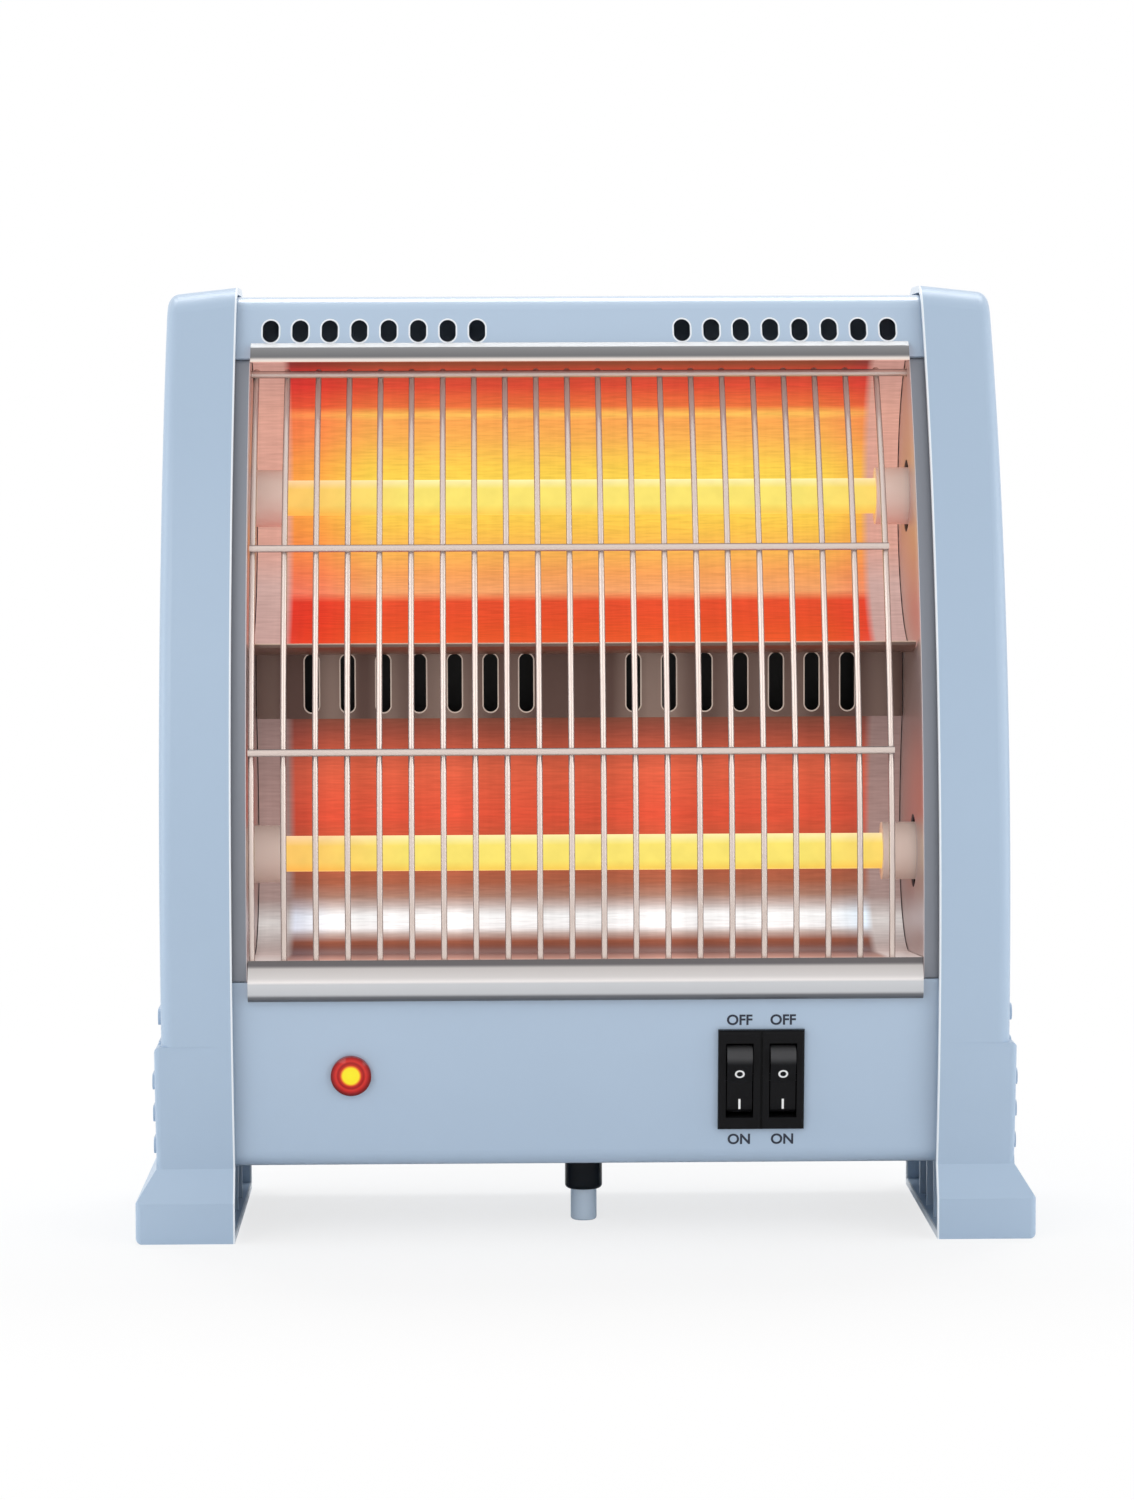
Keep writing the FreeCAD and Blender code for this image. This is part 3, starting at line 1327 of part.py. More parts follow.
block_y = front + S.block_depth
block_low = (S.block_place - S.block_length / 2, block_y - S.block_width / 2, base_top)
block_high = (S.block_place + S.block_length / 2, block_y + S.block_width / 2, base_top + S.block_height)
block_holes = []
for column in (-1, 0, 1):
    for row in (-1, 1):
        at = (S.block_place + S.block_length / 3 * column, block_y + S.block_width / 4 * row)
        block_holes.append(rod(f"block_hole_{column + 1}_{row + 1}", "Z", S.block_hole_radius,
                               block_high[2] - S.block_hole_depth, block_high[2] + through, at))
node("terminal_block", cut("block", box("block_blank", block_low, block_high), block_holes))
gland = turned("gland", [
    (S.gland_bore_radius, S.gland_flange_thickness - S.gland_length),
    (S.gland_bore_radius, S.gland_flange_thickness),
    (S.gland_flange_radius, S.gland_flange_thickness),
    (S.gland_flange_radius, ZERO),
    (S.gland_thread_radius, ZERO),
    (S.gland_thread_radius, S.gland_flange_thickness - S.gland_length),
])
gland.Placement = Placement(Vector(), TURNS["Y"])
node("cord_gland", put(gland, (S.gland_place, rear_panel_outer, S.gland_height)))
nut_outline = [(S.gland_place + u, S.gland_height + v) for u, v in hexagon(S.gland_nut_width)]
gland_nut = prism("gland_nut_blank", "XZ_Plane", [nut_outline], -rear_panel_inner,
                  S.gland_nut_thickness - rear_panel_inner)
gland_nut_bore = rod("gland_nut_bore", "Y", S.gland_thread_radius + S.running_play,
                     rear_panel_inner - S.gland_nut_thickness - through, rear_panel_inner + through,
                     (S.gland_place, S.gland_height))
node("gland_nut", cut("gland_nut_cut", gland_nut, [gland_nut_bore]))

# Leads between the terminal block, the switches and the tube terminals

lead_radius = S.lead_diameter.number / 2
lead_bend = S.lead_bend_radius.number
contact_z = (bridge_top.number + contact_top.number) / 2
contact_x = contact_end.number
tip_y = plunger_y.number
hole_y = lead_hole_y.number
hole_z = S.lead_hole_height.number
nut_x = cap_outer.number + S.terminal_nut_thickness.number / 2
nut_half = S.terminal_nut_width.number / 2
panel_way = Vector(0, 1 / stretch.number, lean.number / stretch.number)
panel_up = Vector(0, -lean.number / stretch.number, 1 / stretch.number)
switch_at = Vector(S.switch_place.number, on_panel(S.switch_height).number, S.switch_height.number)
tab_depth = S.switch_body_depth.number + S.switch_tab_length.number


def tab_end(side, row):
    """The free end of a switch tab."""
    across = Vector(rocker_sides[side].number, 0, 0)
    return switch_at + across + panel_way * tab_depth + panel_up * (S.switch_tab_pitch.number / 2 * row)


def behind_tab(side, row):
    return tab_end(side, row) + panel_way * S.lead_run.number


lower_y, lower_z = (value.number for value in tube_places["lower"])
upper_y, upper_z = (value.number for value in tube_places["upper"])
block_front = block_low[1].number
block_left = block_low[0].number
block_x = block_high[0].number - S.lead_exit.number / 2
low_lane = hole_z - S.lead_pitch.number / 2
high_lane = hole_z + S.lead_pitch.number / 2
sweep = S.lead_sweep.number
exit_run = S.lead_exit.number
left_lane_y = block_y.number - S.lead_pitch.number
lead_routes = {
    "tip_supply_lead": [(block_x, block_front, contact_z), (block_x, tip_y, contact_z),
                        (-contact_x, tip_y, contact_z)],
    "switch_supply_lead": [(contact_x, tip_y, contact_z), (contact_x + S.lead_run.number, tip_y, contact_z),
                           behind_tab("left", -1), tab_end("left", -1)],
    "lower_tube_lead": [tab_end("left", 1), behind_tab("left", 1),
                        (switch_at.x + rocker_sides["left"].number, hole_y, low_lane),
                        (nut_x, hole_y, low_lane), (nut_x, lower_y, low_lane + sweep),
                        (nut_x, lower_y, lower_z - nut_half)],
    "upper_tube_lead": [tab_end("right", 1), behind_tab("right", 1),
                        (switch_at.x + rocker_sides["right"].number, hole_y, high_lane),
                        (nut_x, hole_y, high_lane), (nut_x, hole_y, upper_z - sweep),
                        (nut_x, upper_y, upper_z - exit_run), (nut_x, upper_y, upper_z - nut_half)],
    "return_lead": [(block_left, left_lane_y, hole_z - sweep / 2),
                    (block_left - sweep / 2, left_lane_y, hole_z - sweep / 2),
                    (block_left - sweep, hole_y, hole_z), (-nut_x, hole_y, hole_z),
                    (-nut_x, lower_y, hole_z + sweep), (-nut_x, lower_y, lower_z - nut_half)],
    "tube_link_lead": [(-nut_x, lower_y, lower_z + nut_half), (-nut_x, lower_y, lower_z + sweep),
                       (-nut_x, upper_y, upper_z - sweep), (-nut_x, upper_y, upper_z - nut_half)],
}
for name, route in lead_routes.items():
    node(name, solid_feature(name + "_wire", routed(route, lead_radius, lead_bend)))

# Screws


def screw(name, axis, way, seat, length, centre):
    """A round-headed screw whose head rests on its seat and whose shank runs a given way."""
    spans = (seat, seat + length) if way > 0 else (seat - length, seat)
    head_spans = (seat - S.screw_head_thickness, seat) if way > 0 else (seat, seat + S.screw_head_thickness)
    return [rod(f"{name}_shank", axis, S.screw_radius, *spans, centre),
            rod(f"{name}_head", axis, S.screw_head_radius, *head_spans, centre)]


side_screws = []
for spot, at in enumerate(boss_places):
    side_screws += screw(f"right_side_screw_{spot}", "X", 1, plate_inner, S.screw_length, at)
    side_screws += screw(f"left_side_screw_{spot}", "X", -1, -plate_inner, S.screw_length, at)
node("side_panel_screws", fuse("side_screws", side_screws))
rear_screws = []
for spot, x in enumerate(rear_screw_xs):
    for row, height in (("high", rear_screw_high), ("low", rear_screw_low)):
        rear_screws += screw(f"rear_{row}_screw_{spot}", "Y", -1, rear_skin, S.rear_screw_length, (x, height))
node("rear_panel_screws", fuse("rear_screws", rear_screws))
tip_screws = []
for spot, x in enumerate(tip_screw_xs):
    tip_screws += screw(f"tip_screw_{spot}", "Z", 1, S.base_height, S.screw_length, (x, plunger_y))
node("tip_switch_screws", fuse("tip_screws", tip_screws))

# Check and export

doc.recompute()
faults = [obj.Name for obj in doc.Objects if "Invalid" in obj.State or "Error" in obj.State]
for obj in nodes:
    if obj.Shape.isNull() or not obj.Shape.isValid() or not obj.Shape.Solids:
        faults.append(obj.Label)
if faults:
    raise RuntimeError("faulty pieces: " + ", ".join(faults))
os.makedirs("parts", exist_ok=True)
for obj in nodes:
    obj.Shape.exportStep(f"parts/{obj.Label}.step")
print(f"{len(nodes)} sub-parts")
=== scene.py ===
import bmesh
import bpy
import json
import math
from mathutils import Matrix, Vector


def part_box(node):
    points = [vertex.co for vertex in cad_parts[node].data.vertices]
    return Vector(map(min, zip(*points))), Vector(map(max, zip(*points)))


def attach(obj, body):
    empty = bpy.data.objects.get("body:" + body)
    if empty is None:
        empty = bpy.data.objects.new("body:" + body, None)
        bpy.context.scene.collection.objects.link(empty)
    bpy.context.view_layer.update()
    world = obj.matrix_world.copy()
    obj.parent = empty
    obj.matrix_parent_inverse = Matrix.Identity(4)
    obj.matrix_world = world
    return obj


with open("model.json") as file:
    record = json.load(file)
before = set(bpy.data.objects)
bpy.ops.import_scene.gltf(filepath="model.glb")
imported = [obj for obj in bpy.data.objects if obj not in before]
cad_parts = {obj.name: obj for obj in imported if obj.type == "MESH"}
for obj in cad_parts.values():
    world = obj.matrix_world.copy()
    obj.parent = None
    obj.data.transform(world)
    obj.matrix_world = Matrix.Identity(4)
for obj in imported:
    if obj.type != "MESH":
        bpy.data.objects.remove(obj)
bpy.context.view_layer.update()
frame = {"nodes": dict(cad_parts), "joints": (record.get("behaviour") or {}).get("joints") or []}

# Studio camera: a long lens a metre and a half in front of the heater, a little left of its middle and
# above its shoulder, turned slightly right and down. Its lens is worked out for a picture of 1134 by 1500
# pixels.
CAMERA_PLACE = Vector((-0.0315, -1.4556, 0.2471))
CAMERA_YAW = math.radians(1.06)
CAMERA_PITCH = math.radians(-3.87)
CAMERA_ROLL = math.radians(-0.22)
PICTURE_HEIGHT = 1500
FOCAL_PIXELS = 4600
SENSOR_HEIGHT = 36

level_ahead = Vector((math.sin(CAMERA_YAW), math.cos(CAMERA_YAW), 0))
level_right = Vector((math.cos(CAMERA_YAW), -math.sin(CAMERA_YAW), 0))
forward = level_ahead * math.cos(CAMERA_PITCH) + Vector((0, 0, math.sin(CAMERA_PITCH)))
level_up = level_right.cross(forward)
right = level_right * math.cos(CAMERA_ROLL) + level_up * math.sin(CAMERA_ROLL)
up = level_up * math.cos(CAMERA_ROLL) - level_right * math.sin(CAMERA_ROLL)
camera_turn = Matrix((right, up, -forward)).transposed().to_4x4()
lens_data = bpy.data.cameras.new("studio_camera")
lens_data.sensor_fit = "VERTICAL"
lens_data.sensor_height = SENSOR_HEIGHT
lens_data.lens = FOCAL_PIXELS / PICTURE_HEIGHT * SENSOR_HEIGHT
camera = bpy.data.objects.new("studio_camera", lens_data)
camera.matrix_world = Matrix.Translation(CAMERA_PLACE) @ camera_turn
bpy.context.scene.collection.objects.link(camera)
bpy.context.scene.camera = camera

# Side panels: two hollow mouldings in light blue-grey plastic, screwed to the end plates from inside. The
# mould leaves a very fine grain and a soft gloss. A pale line on the inner rim is a painted highlight, and
# the hollow walls behind it are painted near black as painted shade.
PANEL_BLUE = (0.406, 0.521, 0.662, 1)
PANEL_BLUE_DEEP = (0.379, 0.490, 0.629, 1)
PANEL_GLOSS = {"roughness": 0.34, "grain_scale": 2600, "grain_depth": 0.00002}
PANEL_RIM_HIGHLIGHT = (0.82, 0.87, 0.92, 1)
PANEL_HOLLOW_SHADE = (0.030, 0.036, 0.045, 1)
RIM_REACH = 0.1089
HOLLOW_START = 0.112
GRAIN_DETAIL = 3
GRAIN_STRENGTH = 0.35
CLOUD_SCALE = 14
CLOUD_DETAIL = 2
PLAIN_SHINE = 0.5
COAT_ROUGHNESS = 0.12


def fed(tree, kind, *values, **settings):
    """A shader node with its settings made and its inputs fed, in order, by values or by other sockets."""
    node = tree.nodes.new(kind)
    for name, value in settings.items():
        setattr(node, name, value)
    for socket, value in zip(node.inputs, values):
        if isinstance(value, bpy.types.NodeSocket):
            tree.links.new(value, socket)
        elif value is not None:
            socket.default_value = value
    return node


def blended(tree, share, first, second, way="MIX"):
    """Two colours blended by a share. A Mix node keeps five inputs of other kinds before its colours."""
    other_kinds = (None,) * 5
    node = fed(tree, "ShaderNodeMix", share, *other_kinds, first, second, data_type="RGBA", blend_type=way)
    return node.outputs[2]


def reckoned(tree, operation, first, second=None):
    """One step of arithmetic on values over the surface."""
    return fed(tree, "ShaderNodeMath", first, second, operation=operation).outputs[0]


def place_on(tree):
    """The place on the heater, split into X, Y and Z."""
    return fed(tree, "ShaderNodeSeparateXYZ", fed(tree, "ShaderNodeTexCoord").outputs["Object"]).outputs


def facing_of(tree):
    """The way that the surface faces, split into X, Y and Z."""
    return fed(tree, "ShaderNodeSeparateXYZ", fed(tree, "ShaderNodeTexCoord").outputs["Normal"]).outputs


def off_middle(tree):
    """How far a place lies to either side of the heater's middle."""
    return reckoned(tree, "ABSOLUTE", place_on(tree)["X"])


def grain_group():
    """Fine mould or paint texture: a bump height and a slow change of tone."""
    group = bpy.data.node_groups.new("fine_grain", "ShaderNodeTree")
    for name in ("Grain Scale", "Cloud Scale"):
        group.interface.new_socket(name, in_out="INPUT", socket_type="NodeSocketFloat")
    for name in ("Height", "Tone"):
        group.interface.new_socket(name, in_out="OUTPUT", socket_type="NodeSocketFloat")
    entry = group.nodes.new("NodeGroupInput").outputs
    place = fed(group, "ShaderNodeTexCoord").outputs["Object"]
    fine = fed(group, "ShaderNodeTexNoise", place, None, entry["Grain Scale"], GRAIN_DETAIL)
    cloud = fed(group, "ShaderNodeTexNoise", place, None, entry["Cloud Scale"], CLOUD_DETAIL)
    fed(group, "NodeGroupOutput", fine.outputs["Fac"], cloud.outputs["Fac"])
    return group


FINE_GRAIN = grain_group()


def bare_finish(name):
    """A new finish, with its node tree and its shader."""
    material = bpy.data.materials.new(name)
    material.use_nodes = True
    return material, material.node_tree, material.node_tree.nodes["Principled BSDF"]


def grained(name, light, deep, roughness, grain_scale, grain_depth, metallic=0, coat=0, shine=PLAIN_SHINE):
    """A finish with fine grain in its bump and a slow drift between two near tones."""
    material, tree, shader = bare_finish(name)
    grain = fed(tree, "ShaderNodeGroup", node_tree=FINE_GRAIN)
    grain.inputs["Grain Scale"].default_value = grain_scale
    grain.inputs["Cloud Scale"].default_value = CLOUD_SCALE
    tone = blended(tree, grain.outputs["Tone"], deep, light)
    bump = fed(tree, "ShaderNodeBump", GRAIN_STRENGTH, grain_depth)
    tree.links.new(grain.outputs["Height"], bump.inputs["Height"])
    tree.links.new(bump.outputs["Normal"], shader.inputs["Normal"])
    tree.links.new(tone, shader.inputs["Base Color"])
    shader.inputs["Roughness"].default_value = roughness
    shader.inputs["Metallic"].default_value = metallic
    shader.inputs["Specular IOR Level"].default_value = shine
    shader.inputs["Coat Weight"].default_value = coat
    shader.inputs["Coat Roughness"].default_value = COAT_ROUGHNESS
    return material


def finish(material, *names):
    """Gives CAD nodes one finish."""
    for name in names:
        slots = frame["nodes"][name].data.materials
        slots.clear()
        slots.append(material)


def recoloured(material, share_of, colour):
    """Lays another colour over a finish where a share says so."""
    tree = material.node_tree
    base = tree.nodes["Principled BSDF"].inputs["Base Color"]
    under = base.links[0].from_socket
    tree.links.new(blended(tree, share_of(tree), under, colour), base)


def rim_highlight_share(tree):
    """One on the first sliver of a panel's inner rim, where a highlight is painted."""
    return reckoned(tree, "LESS_THAN", off_middle(tree), RIM_REACH)


def hollow_shade_share(tree):
    """One on the walls that face the middle of the heater from inside a panel, where shade is painted."""
    outward = reckoned(tree, "MULTIPLY", place_on(tree)["X"], facing_of(tree)["X"])
    return reckoned(tree, "LESS_THAN", outward, -HOLLOW_START)


panel_plastic = grained("panel_plastic", PANEL_BLUE, PANEL_BLUE_DEEP, **PANEL_GLOSS)
# Painted highlight: a pale line along the panel's inner rim.
recoloured(panel_plastic, rim_highlight_share, PANEL_RIM_HIGHLIGHT)
# Painted shade: the hollow walls inside the panel made near black.
recoloured(panel_plastic, hollow_shade_share, PANEL_HOLLOW_SHADE)
finish(panel_plastic, "left_side_panel", "right_side_panel")

# Casing sheet: the top cover and the control panel, pressed from thin steel, enamelled in the panels' colour
# with a harder gloss and held between the side panels. A pale line round each vent of the cover is a painted
# highlight. The rear panel is the same sheet in plain grey, held by six screws, and painted shade makes its
# inside near black.
ENAMEL_BLUE = (0.434, 0.554, 0.706, 1)
ENAMEL_BLUE_DEEP = (0.410, 0.528, 0.674, 1)
ENAMEL_GLOSS = {"roughness": 0.3, "grain_scale": 1500, "grain_depth": 0.000015, "coat": 0.8}
REAR_GREY = (0.240, 0.276, 0.324, 1)
REAR_GREY_DEEP = (0.216, 0.252, 0.300, 1)
REAR_GLOSS = {"roughness": 0.4, "grain_scale": 1500, "grain_depth": 0.00003}
REAR_INSIDE_SHADE = (0.012, 0.012, 0.013, 1)
VENT_RIM_HIGHLIGHT = (0.84, 0.88, 0.92, 1)
VENT_ROW = {"innermost": 0.0324, "pitch": 0.00931, "last_step": 7,
            "height": 0.2813, "straight": 0.00095, "reach": 0.00305}
VENT_BACK = 0.03


def apart(tree, value, middle):
    """How far a value lies from a middle."""
    return reckoned(tree, "ABSOLUTE", reckoned(tree, "SUBTRACT", value, middle))


def reckoned_in_space(tree, operation, first, second=None):
    """One step of arithmetic on places or ways, which gives a single value for a length or a dot product."""
    node = fed(tree, "ShaderNodeVectorMath", first, second, operation=operation)
    return node.outputs["Value" if operation in ("LENGTH", "DOT_PRODUCT") else "Vector"]


def slot_highlight_share(tree, innermost, pitch, last_step, height, straight, reach):
    """One on the cut edge and on a fine line round each slot of a row, alike on both sides of the middle,
    where a highlight is painted.
    """
    past = reckoned(tree, "SUBTRACT", off_middle(tree), innermost)
    step = reckoned(tree, "ROUND", reckoned(tree, "DIVIDE", past, pitch))
    step = reckoned(tree, "MINIMUM", reckoned(tree, "MAXIMUM", step, 0), last_step)
    across = apart(tree, past, reckoned(tree, "MULTIPLY", step, pitch))
    along = reckoned(tree, "SUBTRACT", apart(tree, place_on(tree)["Z"], height), straight)
    along = reckoned(tree, "MAXIMUM", along, 0)
    from_slot = fed(tree, "ShaderNodeCombineXYZ", across, along).outputs[0]
    return reckoned(tree, "LESS_THAN", reckoned_in_space(tree, "LENGTH", from_slot), reach)


def vent_highlight_share(tree):
    """One round the vents of the cover, which lie in its front alone, for the painted highlight there."""
    in_front = reckoned(tree, "LESS_THAN", place_on(tree)["Y"], VENT_BACK)
    return reckoned(tree, "MULTIPLY", slot_highlight_share(tree, **VENT_ROW), in_front)


def inside_shade_share(tree):
    """One on the faces that look forward, into the heater, where shade is painted."""
    return reckoned(tree, "LESS_THAN", facing_of(tree)["Y"], 0)


enamel = grained("casing_enamel", ENAMEL_BLUE, ENAMEL_BLUE_DEEP, **ENAMEL_GLOSS)
# Painted highlight: a pale line round each vent of the cover.
recoloured(enamel, vent_highlight_share, VENT_RIM_HIGHLIGHT)
finish(enamel, "top_cover", "control_panel")
rear_enamel = grained("rear_enamel", REAR_GREY, REAR_GREY_DEEP, **REAR_GLOSS)
# Painted shade: the rear panel's inside made near black.
recoloured(rear_enamel, inside_shade_share, REAR_INSIDE_SHADE)
finish(rear_enamel, "rear_panel")

# End plates: bright sheet walls at both ends of the tube space, which the side panels are screwed to. Their
# warm pinkish cast is a painted glow of the lit tubes, and the flange that frames the window is a darker grey
# that is painted shade.
PLATE_GLOW_CAST = (0.676, 0.600, 0.610, 1)
PLATE_GLOW_CAST_DEEP = (0.589, 0.523, 0.534, 1)
PLATE_GLOSS = {"roughness": 0.38, "grain_scale": 900, "grain_depth": 0.00002, "metallic": 0.55}
FLANGE_SHADE_GREY = (0.251, 0.267, 0.305, 1)
FLANGE_START = 0.1042


def flange_shade_share(tree):
    """One on the flange, which stands outside the plate's inner face, where shade is painted."""
    return reckoned(tree, "GREATER_THAN", off_middle(tree), FLANGE_START)


# Painted glow: the plates' warm pinkish base tone stands for the lit tubes' light.
plate_sheet = grained("end_plate_sheet", PLATE_GLOW_CAST, PLATE_GLOW_CAST_DEEP, **PLATE_GLOSS)
# Painted shade: the flange made a darker grey than the plate.
recoloured(plate_sheet, flange_shade_share, FLANGE_SHADE_GREY)
finish(plate_sheet, "left_end_plate", "right_end_plate")

# Reflectors: thin polished aluminium, rolled round each tube. The lit tube's reflection is painted as a glow
# in bands of yellow, orange and red on the side that faces it, paler beyond the coil's ends, with fine
# upright streaks. The front lips and the trim are bright sheet with painted highlight lines and painted shade
# bands, and the backs are plain.
COIL_REACH = 0.093
COIL_END_BLUR = 0.0012
SHEET_REACH = 0.104
GLOW_BASE = (0.05, 0.018, 0.014, 1)
UNLIT = (0, 0, 0, 1)
DRAWN_UPWARD = (1, 0.02, 0.02)
DRAWN_ALONG = (0.08, 1, 1)
STREAK_SCALE, STREAK_DETAIL, STREAK_RANGE = 520, 3, (0.96, 1.03)
SWEEP_SCALE, SWEEP_DETAIL = 60, 1
MOTTLE_SCALE, MOTTLE_DETAIL, MOTTLE_RANGE = 1500, 3, (0.88, 1.09)
STREAK_STRENGTH, STREAK_DEPTH = 0.2, 0.0001
NOISE_LOW, NOISE_HIGH = 0.3, 0.7
LIP_METALLIC, GLOW_METALLIC = 0.45, 0.9
POLISH_ROUGHNESS = 0.3


def streak_group():
    """Polish streaks that run up the sheet and a fine mottle along it, as values about one half."""
    group = bpy.data.node_groups.new("polish_streaks", "ShaderNodeTree")
    for name in ("Streak", "Sweep", "Mottle"):
        group.interface.new_socket(name, in_out="OUTPUT", socket_type="NodeSocketFloat")
    place = fed(group, "ShaderNodeTexCoord").outputs["Object"]
    upward = reckoned_in_space(group, "MULTIPLY", place, DRAWN_UPWARD)
    along = reckoned_in_space(group, "MULTIPLY", place, DRAWN_ALONG)
    streak = fed(group, "ShaderNodeTexNoise", upward, None, STREAK_SCALE, STREAK_DETAIL)
    sweep = fed(group, "ShaderNodeTexNoise", upward, None, SWEEP_SCALE, SWEEP_DETAIL)
    mottle = fed(group, "ShaderNodeTexNoise", along, None, MOTTLE_SCALE, MOTTLE_DETAIL)
    fed(group, "NodeGroupOutput", streak.outputs["Fac"], sweep.outputs["Fac"], mottle.outputs["Fac"])
    return group


STREAKS = streak_group()


def banded(tree, value, low, high, bands):
    """A colour that changes in bands along a value, each band given at its place."""
    share = fed(tree, "ShaderNodeMapRange", value, low, high).outputs[0]
    ramp = fed(tree, "ShaderNodeValToRGB", share)
    steps = ramp.color_ramp.elements
    while len(steps) < len(bands):
        steps.new(1)
    for step, (place, colour) in zip(steps, bands):
        step.position = (place - low) / (high - low)
        step.color = (*colour, 1)
    return ramp.outputs["Color"]


def spread_about(tree, value, dark, bright):
    """Stretches a noise value about one half to a range of brightness."""
    return fed(tree, "ShaderNodeMapRange", value, NOISE_LOW, NOISE_HIGH, dark, bright).outputs[0]


def painted_reflection_polish(name, node_name, tube_name, glow, end_glow, edge_tint, lip_light_bands, sweep_range):
    """Polished sheet with the lit tube's reflection painted as glow bands on the side that faces it, and
    painted highlight and shade bands elsewhere.
    """
    low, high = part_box(node_name)
    tube_low, tube_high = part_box(tube_name)
    tube = (tube_low + tube_high) / 2
    material, tree, shader = bare_finish(name)
    coords = fed(tree, "ShaderNodeTexCoord").outputs
    place = place_on(tree)
    to_tube = reckoned_in_space(tree, "SUBTRACT", tube, coords["Object"])
    to_axis = reckoned_in_space(tree, "MULTIPLY", to_tube, (0, 1, 1))
    turned = reckoned_in_space(tree, "DOT_PRODUCT", to_axis, coords["Normal"])
    facing = reckoned(tree, "GREATER_THAN", turned, 0)
    tint = banded(tree, place["X"], -SHEET_REACH, SHEET_REACH, edge_tint)
    middle = blended(tree, 1, banded(tree, place["Z"], low.z, high.z, glow), tint, "MULTIPLY")
    ends = banded(tree, place["Z"], low.z, high.z, end_glow)
    coil_end = (COIL_REACH - COIL_END_BLUR, COIL_REACH + COIL_END_BLUR)
    past_coil = fed(tree, "ShaderNodeMapRange", off_middle(tree), *coil_end).outputs[0]
    colour = blended(tree, past_coil, middle, ends)
    streaks = fed(tree, "ShaderNodeGroup", node_tree=STREAKS).outputs
    for noise, shades in (("Streak", STREAK_RANGE), ("Sweep", sweep_range), ("Mottle", MOTTLE_RANGE)):
        colour = blended(tree, 1, colour, spread_about(tree, streaks[noise], *shades), "MULTIPLY")
    # Painted reflection: the lit tube's glow as emission on the faces that look at it.
    tree.links.new(blended(tree, facing, UNLIT, colour), shader.inputs["Emission Color"])
    shader.inputs["Emission Strength"].default_value = 1
    # Painted highlights and shade: bright and dark bands along the lips and the trim, by height.
    lit_lip_bands = banded(tree, place["Z"], low.z, high.z, lip_light_bands)
    tree.links.new(blended(tree, facing, lit_lip_bands, GLOW_BASE), shader.inputs["Base Color"])
    bump = fed(tree, "ShaderNodeBump", STREAK_STRENGTH, STREAK_DEPTH)
    tree.links.new(streaks["Streak"], bump.inputs["Height"])
    tree.links.new(bump.outputs["Normal"], shader.inputs["Normal"])
    metallic = fed(tree, "ShaderNodeMapRange", facing, 0, 1, LIP_METALLIC, GLOW_METALLIC).outputs[0]
    tree.links.new(metallic, shader.inputs["Metallic"])
    shader.inputs["Roughness"].default_value = POLISH_ROUGHNESS
    return material


# Painted glow bands of the tube's reflection in the upper reflector, by height.
UPPER_PAINTED_GLOW = [
    (0.1836, (0.72, 0.06, 0.020)),
    (0.1950, (0.78, 0.08, 0.030)),
    (0.1980, (0.90, 0.38, 0.150)),
    (0.2040, (0.90, 0.36, 0.100)),
    (0.2180, (0.95, 0.57, 0.075)),
    (0.2286, (0.96, 0.72, 0.085)),
    (0.2380, (0.96, 0.63, 0.080)),
    (0.2470, (0.93, 0.45, 0.090)),
    (0.2530, (0.94, 0.39, 0.090)),
    (0.2550, (0.99, 0.54, 0.110)),
    (0.2575, (0.80, 0.17, 0.050)),
    (0.2640, (0.68, 0.07, 0.038)),
    (0.2690, (0.46, 0.05, 0.035)),
    (0.2710, (0.20, 0.04, 0.030)),
]
# Painted glow of the reflection beyond the coil's ends.
UPPER_END_PAINTED_GLOW = [
    (0.1836, (0.52, 0.34, 0.31)),
    (0.2000, (0.60, 0.40, 0.36)),
    (0.2120, (0.68, 0.36, 0.29)),
    (0.2550, (0.70, 0.37, 0.29)),
    (0.2710, (0.52, 0.28, 0.24)),
]
# Tint of the painted glow along the heater, pinker towards the ends.
UPPER_TINT = [
    (-0.093, (0.98, 0.52, 0.80)),
    (-0.084, (0.98, 0.58, 0.80)),
    (-0.068, (1.00, 0.98, 1.00)),
    (0.078, (1.00, 1.00, 1.00)),
    (0.092, (0.98, 0.74, 0.92)),
]
# Painted highlight lines and painted shade bands on the upper reflector's lip and on the top trim.
UPPER_LIP_LIGHT_AND_SHADE = [
    (0.1828, (0.176, 0.110, 0.088)),
    (0.1836, (0.176, 0.110, 0.088)),
    (0.1839, (0.880, 0.660, 0.506)),
    (0.1844, (0.880, 0.660, 0.506)),
    (0.1850, (0.110, 0.099, 0.094)),
    (0.2700, (0.110, 0.099, 0.094)),
    (0.2712, (0.858, 0.660, 0.528)),
    (0.2722, (0.836, 0.759, 0.715)),
    (0.2730, (0.154, 0.154, 0.160)),
    (0.2752, (0.220, 0.220, 0.226)),
    (0.2768, (0.300, 0.310, 0.320)),
]
UPPER_SWEEP = (0.96, 1.04)
upper_polish_painted_glow = painted_reflection_polish("upper_polish_painted_glow", "upper_reflector", "upper_quartz_tube", UPPER_PAINTED_GLOW, UPPER_END_PAINTED_GLOW,
                          UPPER_TINT, UPPER_LIP_LIGHT_AND_SHADE, UPPER_SWEEP)
finish(upper_polish_painted_glow, "upper_reflector")

